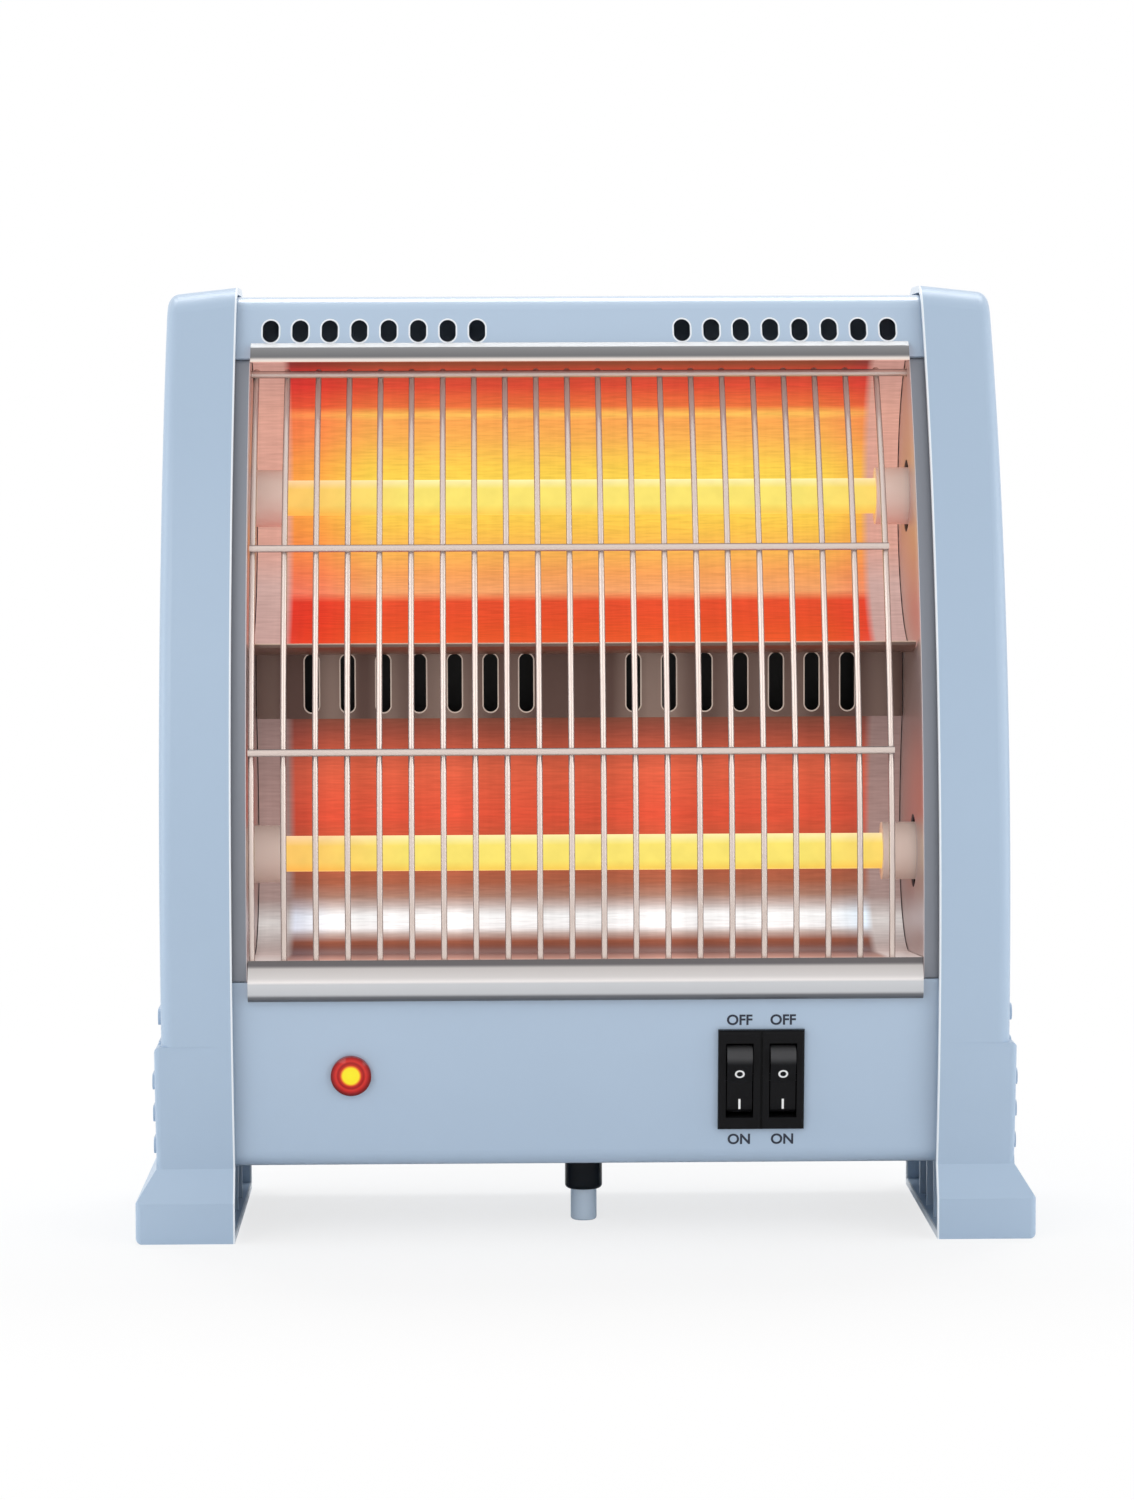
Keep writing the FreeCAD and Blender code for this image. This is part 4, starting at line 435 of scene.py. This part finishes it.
# Painted glow bands of the tube's reflection in the lower reflector, with a painted white reflection band.
LOWER_PAINTED_GLOW = [
    (0.0842, (0.06, 0.01, 0.006)),
    (0.0868, (0.28, 0.09, 0.050)),
    (0.0888, (0.54, 0.42, 0.370)),
    (0.0905, (1.00, 0.98, 0.970)),
    (0.0940, (1.02, 1.01, 1.000)),
    (0.0970, (0.60, 0.48, 0.440)),
    (0.0998, (0.40, 0.21, 0.150)),
    (0.1040, (0.38, 0.11, 0.055)),
    (0.1140, (0.50, 0.09, 0.040)),
    (0.1255, (0.73, 0.08, 0.040)),
    (0.1400, (0.69, 0.11, 0.055)),
    (0.1530, (0.28, 0.06, 0.040)),
    (0.1588, (0.14, 0.05, 0.035)),
]
# Painted glow of the reflection beyond the coil's ends.
LOWER_END_PAINTED_GLOW = [
    (0.084, (0.34, 0.26, 0.24)),
    (0.092, (0.66, 0.62, 0.60)),
    (0.099, (0.34, 0.24, 0.22)),
    (0.130, (0.34, 0.22, 0.20)),
    (0.160, (0.22, 0.15, 0.14)),
]
LOWER_TINT = [
    (-0.093, (0.90, 0.95, 1.10)),
    (-0.080, (1.00, 1.00, 1.00)),
    (0.080, (1.00, 1.00, 1.00)),
    (0.092, (0.85, 0.98, 1.10)),
]
# Painted highlight on the lower lip's crest, and painted shade on its low edge and the shelf behind.
LOWER_LIP_LIGHT_AND_SHADE = [
    (0.0750, (0.110, 0.116, 0.132)),
    (0.0766, (0.154, 0.160, 0.176)),
    (0.0774, (0.550, 0.561, 0.583)),
    (0.0806, (0.616, 0.627, 0.649)),
    (0.0812, (0.880, 0.836, 0.825)),
    (0.0824, (0.660, 0.627, 0.616)),
    (0.0852, (0.550, 0.517, 0.506)),
    (0.0860, (0.132, 0.121, 0.127)),
    (0.0880, (0.132, 0.121, 0.121)),
]
LOWER_SWEEP = (0.82, 1.16)
lower_polish_painted_glow = painted_reflection_polish("lower_polish_painted_glow", "lower_reflector", "lower_quartz_tube", LOWER_PAINTED_GLOW, LOWER_END_PAINTED_GLOW,
                          LOWER_TINT, LOWER_LIP_LIGHT_AND_SHADE, LOWER_SWEEP)
finish(lower_polish_painted_glow, "lower_reflector")

# Vent strip: the flat aluminium sheet between the two reflectors, brushed up and down and lapped by their
# edges. Its dark brownish tone is a painted reflection of the dark room in front, and a pale line round each
# slot is a painted highlight. A row of seven slots on each side of its middle lets the air through.
STRIP_REFLECTION_DARK = (0.14, 0.085, 0.072, 1)
STRIP_REFLECTION_LIGHT = (0.32, 0.23, 0.195, 1)
STRIP_GLOSS = {"roughness": 0.36, "grain_scale": 900, "grain_depth": 0.00002, "metallic": 0.8}
STRIP_SWEEP = (0.42, 0.66)
STRIP_RIM_HIGHLIGHT = (0.74, 0.62, 0.54, 1)
STRIP_RISE = 0.01135
STRIP_ROW = {"innermost": 0.0172, "pitch": 0.01147, "last_step": 6, "straight": 0.0071, "reach": 0.00265}


def sweep_share(tree):
    """Broad light and dark sweeps across the sheet."""
    streaks = fed(tree, "ShaderNodeGroup", node_tree=STREAKS).outputs
    return fed(tree, "ShaderNodeMapRange", streaks["Sweep"], *STRIP_SWEEP).outputs[0]


def strip_slot_highlight_share(tree):
    """One round the slots of the strip, for the painted highlight there."""
    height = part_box("vent_strip")[0].z + STRIP_RISE
    return slot_highlight_share(tree, height=height, **STRIP_ROW)


# Painted reflection: the strip's dark brownish tone, in broad light and dark sweeps.
strip_sheet = grained("strip_sheet", STRIP_REFLECTION_DARK, STRIP_REFLECTION_DARK, **STRIP_GLOSS)
recoloured(strip_sheet, sweep_share, STRIP_REFLECTION_LIGHT)
# Painted highlight: a pale line round each slot of the strip.
recoloured(strip_sheet, strip_slot_highlight_share, STRIP_RIM_HIGHLIGHT)
finish(strip_sheet, "vent_strip")

# Quartz tubes: milky fused quartz round a coil of resistance wire. Lit, the whole tube glows, palest along
# its top and more orange underneath and towards its cooler ends.
TUBE_LOW = (0.96, 0.60, 0.09)
TUBE_MIDDLE = (0.96, 0.78, 0.16)
TUBE_TOP = (0.99, 0.90, 0.44)
TUBE_BANDS = [(0.0, TUBE_LOW), (0.3, TUBE_MIDDLE), (0.75, TUBE_MIDDLE), (1.0, TUBE_TOP)]
TUBE_TINT = [
    (-0.100, (1.0, 0.70, 0.80)),
    (-0.082, (1.0, 0.78, 0.84)),
    (-0.055, (1.0, 1.00, 1.00)),
    (0.070, (1.0, 1.00, 1.00)),
    (0.100, (1.0, 0.84, 0.86)),
]
COIL_GLOW = (1.0, 0.80, 0.34)
COIL_BANDS = [(0.0, COIL_GLOW), (1.0, COIL_GLOW)]
COIL_STRENGTH = 2
LIT_BASE = (0.02, 0.015, 0.01, 1)
LIT_SHINE = 0.1
LIT_ROUGHNESS = 0.3
MILK_SCALE, MILK_DETAIL, MILK_RANGE = 180, 2, (0.95, 1.04)


def glowing(name, node_name, bands, axis="Z", strength=1, tint=None):
    """A lit piece whose glow changes in bands from its lowest to its highest place along an axis."""
    low, high = (getattr(corner, axis.lower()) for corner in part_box(node_name))
    material, tree, shader = bare_finish(name)
    place = place_on(tree)
    steps = [(low + (high - low) * share, colour) for share, colour in bands]
    glow = banded(tree, place[axis], low, high, steps)
    if tint:
        along = banded(tree, place["X"], tint[0][0], tint[-1][0], tint)
        glow = blended(tree, 1, glow, along, "MULTIPLY")
    coords = fed(tree, "ShaderNodeTexCoord").outputs["Object"]
    milk = fed(tree, "ShaderNodeTexNoise", coords, None, MILK_SCALE, MILK_DETAIL).outputs["Fac"]
    glow = blended(tree, 1, glow, spread_about(tree, milk, *MILK_RANGE), "MULTIPLY")
    tree.links.new(glow, shader.inputs["Emission Color"])
    shader.inputs["Emission Strength"].default_value = strength
    shader.inputs["Base Color"].default_value = LIT_BASE
    shader.inputs["Specular IOR Level"].default_value = LIT_SHINE
    shader.inputs["Roughness"].default_value = LIT_ROUGHNESS
    return material


for level in ("upper", "lower"):
    tube_name, coil_name = f"{level}_quartz_tube", f"{level}_heating_coil"
    finish(glowing(f"{level}_lit_quartz", tube_name, TUBE_BANDS, tint=TUBE_TINT), tube_name)
    finish(glowing(f"{level}_lit_coil", coil_name, COIL_BANDS, strength=COIL_STRENGTH), coil_name)

# Ceramic caps hold the tube ends. They are fired steatite, matt and slightly warm, and carry the brass
# terminal studs. A faint glow in their own tone is painted light. Plated steel brackets hold them off the end
# plates.
CERAMIC = (0.937, 0.763, 0.676, 1)
CERAMIC_DEEP = (0.850, 0.676, 0.589, 1)
CERAMIC_GLOSS = {"roughness": 0.6, "grain_scale": 1800, "grain_depth": 0.00004}
CERAMIC_PAINTED_GLOW = 0.09
ZINC = (0.58, 0.59, 0.60, 1)
ZINC_DEEP = (0.50, 0.51, 0.52, 1)
ZINC_GLOSS = {"roughness": 0.38, "grain_scale": 900, "grain_depth": 0.00002, "metallic": 1}
BRASS = (0.66, 0.45, 0.17, 1)
BRASS_DEEP = (0.58, 0.38, 0.13, 1)
BRASS_GLOSS = {"roughness": 0.32, "grain_scale": 900, "grain_depth": 0.00002, "metallic": 1}

ceramic = grained("ceramic", CERAMIC, CERAMIC_DEEP, **CERAMIC_GLOSS)
ceramic_inputs = ceramic.node_tree.nodes["Principled BSDF"].inputs
ceramic_tone = ceramic_inputs["Base Color"].links[0].from_socket
# Painted light: the caps glow faintly in their own tone.
ceramic.node_tree.links.new(ceramic_tone, ceramic_inputs["Emission Color"])
ceramic_inputs["Emission Strength"].default_value = CERAMIC_PAINTED_GLOW
zinc = grained("zinc_plate", ZINC, ZINC_DEEP, **ZINC_GLOSS)
brass = grained("brass", BRASS, BRASS_DEEP, **BRASS_GLOSS)
for level in ("upper", "lower"):
    for side in ("left", "right"):
        finish(ceramic, f"{level}_{side}_cap")
        finish(zinc, f"{level}_{side}_bracket")
        finish(brass, f"{level}_{side}_terminal")

# Guard grille: bright plated wire, bowed upright wires that stand in the lower lip, with cross wires
# spot-welded in front of them. Painted shade makes the flanks of the wires darker than their fronts.
PLATED_WIRE = (0.763, 0.643, 0.589, 1)
PLATED_WIRE_DEEP = (0.676, 0.567, 0.512, 1)
WIRE_GLOSS = {"roughness": 0.24, "grain_scale": 700, "grain_depth": 0.000002, "metallic": 0.4}
WIRE_FLANK_SHADE = (0.34, 0.30, 0.30, 1)
SIDE_TURN = (0.62, 0.92)


def wire_flank_shade_share(tree):
    """Rises on the flanks of the wires, which face their neighbours and not the light, where shade is
    painted.
    """
    facing = facing_of(tree)
    sideways = reckoned(tree, "ABSOLUTE", facing["X"])
    upward = reckoned(tree, "ABSOLUTE", facing["Z"])
    flank = reckoned(tree, "MAXIMUM", sideways, upward)
    return fed(tree, "ShaderNodeMapRange", flank, *SIDE_TURN, interpolation_type="SMOOTHSTEP").outputs[0]


plated_wire = grained("plated_wire", PLATED_WIRE, PLATED_WIRE_DEEP, **WIRE_GLOSS)
# Painted shade: the flanks of the wires darker than their fronts.
recoloured(plated_wire, wire_flank_shade_share, WIRE_FLANK_SHADE)
finish(plated_wire, "guard_grille")

# Double rocker switch: a glossy black housing snapped into the control panel, with two black rockers on one
# pin. White marks are printed on the rockers and dark words on the panel above and below them.
SWITCH_BLACK = (0.008, 0.008, 0.009, 1)
SWITCH_BLACK_DEEP = (0.006, 0.006, 0.007, 1)
SWITCH_GLOSS = {"roughness": 0.2, "grain_scale": 2200, "grain_depth": 0.00001, "shine": 0.1}
PIN_GLOSS = {"roughness": 0.3, "grain_scale": 900, "grain_depth": 0.00001, "metallic": 1}
MARK_WHITE = (0.904, 0.904, 0.904, 1)
MARK_WHITE_DEEP = (0.836, 0.836, 0.836, 1)
WORD_NAVY = (0.022, 0.028, 0.050, 1)
WORD_NAVY_DEEP = (0.018, 0.023, 0.042, 1)
INK_GLOSS = {"roughness": 0.6, "grain_scale": 2200, "grain_depth": 0.00001}
INK_LIFT = 0.00004
INK_DEPTH = 0.00002
INK_WEIGHT = 0.026
TIP_PAINTED_HIGHLIGHT = (0.065, 0.065, 0.068, 1)
HIGHLIGHT_RISE = (0.0052, 0.0082)
PANEL_LEAN = math.radians(8.687)
ROCKER_TILT = math.radians(10)
PIVOT_DEPTH = 0.0016
ROCKER_FACE = 0.0034
WORD_HEIGHT = 0.0034
OFF_RISE = 0.0189
ON_DROP = 0.0194
RING_RISE, RING_HEIGHT = 0.0031, 0.0029
BAR_DROP, BAR_HEIGHT = 0.0070, 0.0032

panel_up = Vector((0, -math.sin(PANEL_LEAN), math.cos(PANEL_LEAN)))
panel_out = Vector((0, -math.cos(PANEL_LEAN), -math.sin(PANEL_LEAN)))
rocker_joints = [joint for joint in frame["joints"] if joint["type"] == "hinge"]


def tip_highlight_share(tree):
    """Rises over the rounded top of a rocker, where a grey highlight is painted."""
    place = fed(tree, "ShaderNodeTexCoord").outputs["Object"]
    offset = reckoned_in_space(tree, "SUBTRACT", place, Vector(rocker_joints[0]["pos_m"]))
    rise = reckoned_in_space(tree, "DOT_PRODUCT", offset, panel_up)
    return fed(tree, "ShaderNodeMapRange", rise, *HIGHLIGHT_RISE, interpolation_type="SMOOTHSTEP").outputs[0]


switch_black = grained("switch_black", SWITCH_BLACK, SWITCH_BLACK_DEEP, **SWITCH_GLOSS)
finish(switch_black, "switch_housing")
rocker_black = grained("rocker_black", SWITCH_BLACK, SWITCH_BLACK_DEEP, **SWITCH_GLOSS)
# Painted highlight: a grey sheen over the rounded tops of the rockers.
recoloured(rocker_black, tip_highlight_share, TIP_PAINTED_HIGHLIGHT)
finish(rocker_black, "left_rocker", "right_rocker")
# The pivot pin is given the housing's black.
finish(grained("dark_pin", SWITCH_BLACK, SWITCH_BLACK_DEEP, **PIN_GLOSS), "rocker_pivot_pin")
finish(brass, "switch_terminals", "fixed_contacts", "contact_bridge")
mark_white = grained("mark_white", MARK_WHITE, MARK_WHITE_DEEP, **INK_GLOSS)
word_navy = grained("word_navy", WORD_NAVY, WORD_NAVY_DEEP, **INK_GLOSS)


def lettered(name, words, height, centre, upward, body, material):
    """Printed words of a given height, centred on a place, lying on a face whose upward way is given."""
    curve = bpy.data.curves.new(name, "FONT")
    curve.body = words
    curve.extrude = INK_DEPTH
    curve.offset = INK_WEIGHT
    text = bpy.data.objects.new(name, curve)
    bpy.context.scene.collection.objects.link(text)
    bpy.context.view_layer.update()
    mesh = bpy.data.meshes.new_from_object(text.evaluated_get(bpy.context.evaluated_depsgraph_get()))
    bpy.data.objects.remove(text)
    corners = [vertex.co for vertex in mesh.vertices]
    low = Vector(min(corner[axis] for corner in corners) for axis in range(2))
    high = Vector(max(corner[axis] for corner in corners) for axis in range(2))
    scale = height / (high.y - low.y)
    middle = (low + high) / 2
    across = Vector((1, 0, 0))
    outward = across.cross(upward)
    for vertex in mesh.vertices:
        flat = (vertex.co.xy - middle) * scale
        vertex.co = centre + across * flat.x + upward * flat.y + outward * (INK_LIFT + vertex.co.z)
    mesh.name = name
    mesh.materials.clear()
    mesh.materials.append(material)
    piece = bpy.data.objects.new(name, mesh)
    bpy.context.scene.collection.objects.link(piece)
    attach(piece, body)
    return piece


for joint in rocker_joints:
    side = joint["child"].removesuffix("_rocker_body")
    pivot = Vector(joint["pos_m"])
    face = pivot + panel_out * PIVOT_DEPTH
    for words, rise in (("OFF", OFF_RISE), ("ON", -ON_DROP)):
        word = lettered(f"{side}_{words.lower()}_word", words, WORD_HEIGHT, face + panel_up * rise, panel_up,
                        "casing", word_navy)
    rocker_out = panel_out * math.cos(ROCKER_TILT) - panel_up * math.sin(ROCKER_TILT)
    valley = pivot + rocker_out * ROCKER_FACE
    steep_up = panel_up * math.cos(2 * ROCKER_TILT) + panel_out * math.sin(2 * ROCKER_TILT)
    marks = (("O", RING_HEIGHT, valley + steep_up * RING_RISE, steep_up),
             ("I", BAR_HEIGHT, valley - panel_up * BAR_DROP, panel_up))
    for mark, height, centre, upward in marks:
        piece = lettered(f"{side}_{mark.lower()}_mark", mark, height, centre, upward,
                         joint["child"], mark_white)

# Indicator lamp: a clear red lens with a glowing neon lamp behind it, held by a ring behind the sheet. The
# lamp's light through the lens is painted on it as a glow, a yellow spot in a red ring, with a painted
# highlight ring near its edge.
LENS_RED = (0.10, 0.004, 0.004, 1)
LENS_RED_DEEP = (0.08, 0.003, 0.003, 1)
LENS_GLOSS = {"roughness": 0.1, "grain_scale": 900, "grain_depth": 0.00001, "shine": 0.3}
LENS_STRENGTH = 0.9
LENS_PAINTED_GLOW = [
    (0.0000, (0.96, 0.920, 0.020)),
    (0.0025, (0.96, 0.860, 0.020)),
    (0.0029, (0.90, 0.300, 0.020)),
    (0.0033, (0.55, 0.020, 0.010)),
    (0.0040, (0.28, 0.004, 0.004)),
    (0.0046, (0.62, 0.030, 0.020)),
    (0.0052, (0.42, 0.010, 0.010)),
    (0.0058, (0.16, 0.002, 0.002)),
    (0.0064, (0.05, 0.001, 0.001)),
]
NEON_GLOW = (1.0, 0.62, 0.05)
NEON_BANDS = [(0.0, NEON_GLOW), (1.0, NEON_GLOW)]
NEON_STRENGTH = 1.5


def lens_painted_glow(tree):
    """The lens's painted glow in rings about its middle, with a painted highlight ring, as seen level from
    the front.
    """
    low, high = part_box("indicator_lens")
    centre = (low + high) / 2
    level_out = Vector((0, -1, 0))
    place = fed(tree, "ShaderNodeTexCoord").outputs["Object"]
    offset = reckoned_in_space(tree, "SUBTRACT", place, centre)
    round_axis = reckoned_in_space(tree, "CROSS_PRODUCT", offset, level_out)
    reach = reckoned_in_space(tree, "LENGTH", round_axis)
    return banded(tree, reach, LENS_PAINTED_GLOW[0][0], LENS_PAINTED_GLOW[-1][0], LENS_PAINTED_GLOW)


red_lens = grained("red_lens", LENS_RED, LENS_RED_DEEP, **LENS_GLOSS)
lens_inputs = red_lens.node_tree.nodes["Principled BSDF"].inputs
# Painted light: the lamp's glow and a highlight ring, as emission on the lens.
red_lens.node_tree.links.new(lens_painted_glow(red_lens.node_tree), lens_inputs["Emission Color"])
lens_inputs["Emission Strength"].default_value = LENS_STRENGTH
finish(red_lens, "indicator_lens")
finish(glowing("lit_neon", "neon_lamp", NEON_BANDS, axis="Y", strength=NEON_STRENGTH), "neon_lamp")

# Small mouldings: the black collar that guides the plunger, the black cord gland with its nut, the grey
# plunger and the white inner blocks, all moulded in plastic. The plunger's wire spring and the screws that
# hold the panels and the tip switch are plated steel.
BLACK_PLASTIC = (0.007, 0.010, 0.014, 1)
BLACK_PLASTIC_DEEP = (0.005, 0.007, 0.010, 1)
BLACK_GLOSS = {"roughness": 0.22, "grain_scale": 2000, "grain_depth": 0.00002, "shine": 0.12}
PLUNGER_GREY = (0.701, 0.814, 0.938, 1)
PLUNGER_GREY_DEEP = (0.633, 0.746, 0.870, 1)
PLUNGER_GLOSS = {"roughness": 0.25, "grain_scale": 2000, "grain_depth": 0.00002}
INNER_WHITE = (0.814, 0.814, 0.780, 1)
INNER_WHITE_DEEP = (0.746, 0.746, 0.712, 1)
INNER_GLOSS = {"roughness": 0.5, "grain_scale": 2000, "grain_depth": 0.00003}

black_plastic = grained("black_plastic", BLACK_PLASTIC, BLACK_PLASTIC_DEEP, **BLACK_GLOSS)
finish(black_plastic, "plunger_collar", "cord_gland", "gland_nut")
plunger_grey = grained("plunger_grey", PLUNGER_GREY, PLUNGER_GREY_DEEP, **PLUNGER_GLOSS)
finish(plunger_grey, "tip_plunger")
inner_white = grained("inner_white", INNER_WHITE, INNER_WHITE_DEEP, **INNER_GLOSS)
finish(inner_white, "indicator_ring", "terminal_block", "tip_switch_housing")
finish(zinc, "plunger_spring", "side_panel_screws", "rear_panel_screws", "tip_switch_screws")

# Leads: copper wires in heat-proof woven sleeves, bent by hand between the terminal block, the switches and
# the tube terminals, and led through a hole in each end plate.
SLEEVE = (0.701, 0.678, 0.621, 1)
SLEEVE_DEEP = (0.588, 0.565, 0.520, 1)
SLEEVE_WEAVE = {"roughness": 0.8, "grain_scale": 3000, "grain_depth": 0.0001}

leads = [name for name in frame["nodes"] if name.endswith("_lead")]
finish(grained("woven_sleeve", SLEEVE, SLEEVE_DEEP, **SLEEVE_WEAVE), *leads)

# Studio: a wide white floor that fades into a white background and is clear from below, with soft boxes in
# front, overhead and at both sides, whose reflections draw the rounded edges.
FLOOR_REACH = 6
FLOOR_WHITE = (0.90, 0.90, 0.90, 1)
FLOOR_ROUGHNESS = 0.9
FLOOR_NEAR, FLOOR_FAR = 0.20, 0.60
FLOOR_SHARE = 0.74
BACKGROUND_WHITE = (1, 1, 1, 1)
AMBIENT = 0.615
AIM = Vector((0, 0, 0.15))
SOFT_BOXES = (
    ("key_softbox", (-0.9, -1.3, 1.0), (0.9, 0.9), 5.5),
    ("fill_softbox", (1.1, -1.1, 0.7), (0.8, 0.8), 3.6),
    ("top_softbox", (0, 0.55, 1.1), (1.2, 0.35), 6),
    ("left_softbox", (-1.1, -0.1, 0.35), (0.6, 1.0), 3.6),
    ("right_softbox", (1.1, -0.1, 0.35), (0.6, 1.0), 3.6),
)

floor_mesh = bmesh.new()
bmesh.ops.create_grid(floor_mesh, x_segments=1, y_segments=1, size=FLOOR_REACH)
floor_data = bpy.data.meshes.new("studio_floor")
floor_mesh.to_mesh(floor_data)
floor_mesh.free()
floor = bpy.data.objects.new("studio_floor", floor_data)
bpy.context.scene.collection.objects.link(floor)
paper, tree, paper_shader = bare_finish("studio_paper")
paper_shader.inputs["Base Color"].default_value = FLOOR_WHITE
paper_shader.inputs["Roughness"].default_value = FLOOR_ROUGHNESS
paper_shader.inputs["Specular IOR Level"].default_value = 0
paper_place = fed(tree, "ShaderNodeTexCoord").outputs["Object"]
paper_reach = reckoned_in_space(tree, "LENGTH", paper_place)
paper_fade = fed(tree, "ShaderNodeMapRange", paper_reach, FLOOR_NEAR, FLOOR_FAR, FLOOR_SHARE, 1,
                 interpolation_type="SMOOTHSTEP").outputs[0]
paper_light = fed(tree, "ShaderNodeEmission").outputs[0]
paper_path = fed(tree, "ShaderNodeLightPath").outputs
paper_seen = reckoned(tree, "MULTIPLY", paper_fade, paper_path["Is Camera Ray"])
paper_mix = fed(tree, "ShaderNodeMixShader", paper_seen, paper_shader.outputs["BSDF"], paper_light)
from_below = fed(tree, "ShaderNodeNewGeometry").outputs["Backfacing"]
clear = fed(tree, "ShaderNodeBsdfTransparent").outputs[0]
paper_sheet = fed(tree, "ShaderNodeMixShader", from_below, paper_mix.outputs[0], clear)
tree.links.new(paper_sheet.outputs[0], tree.nodes["Material Output"].inputs["Surface"])
floor_data.materials.append(paper)

world = bpy.data.worlds.new("studio_world")
bpy.context.scene.world = world
world.use_nodes = True
tree = world.node_tree
dim = tree.nodes["Background"]
dim.inputs["Color"].default_value = BACKGROUND_WHITE
dim.inputs["Strength"].default_value = AMBIENT
white = fed(tree, "ShaderNodeBackground", BACKGROUND_WHITE, 1)
path = fed(tree, "ShaderNodeLightPath").outputs
seen = reckoned(tree, "MAXIMUM", path["Is Camera Ray"], path["Is Glossy Ray"])
seen = reckoned(tree, "MAXIMUM", seen, path["Is Transmission Ray"])
pick = fed(tree, "ShaderNodeMixShader", seen, dim.outputs["Background"], white.outputs["Background"])
tree.links.new(pick.outputs[0], tree.nodes["World Output"].inputs["Surface"])

for name, place, size, power in SOFT_BOXES:
    lamp_data = bpy.data.lights.new(name, "AREA")
    lamp_data.shape = "RECTANGLE"
    lamp_data.size, lamp_data.size_y = size
    lamp_data.energy = power
    lamp = bpy.data.objects.new(name, lamp_data)
    aim = AIM - Vector(place)
    lamp.matrix_world = Matrix.Translation(place) @ aim.to_track_quat("-Z", "Y").to_matrix().to_4x4()
    bpy.context.scene.collection.objects.link(lamp)

bpy.context.scene.view_settings.view_transform = "Standard"
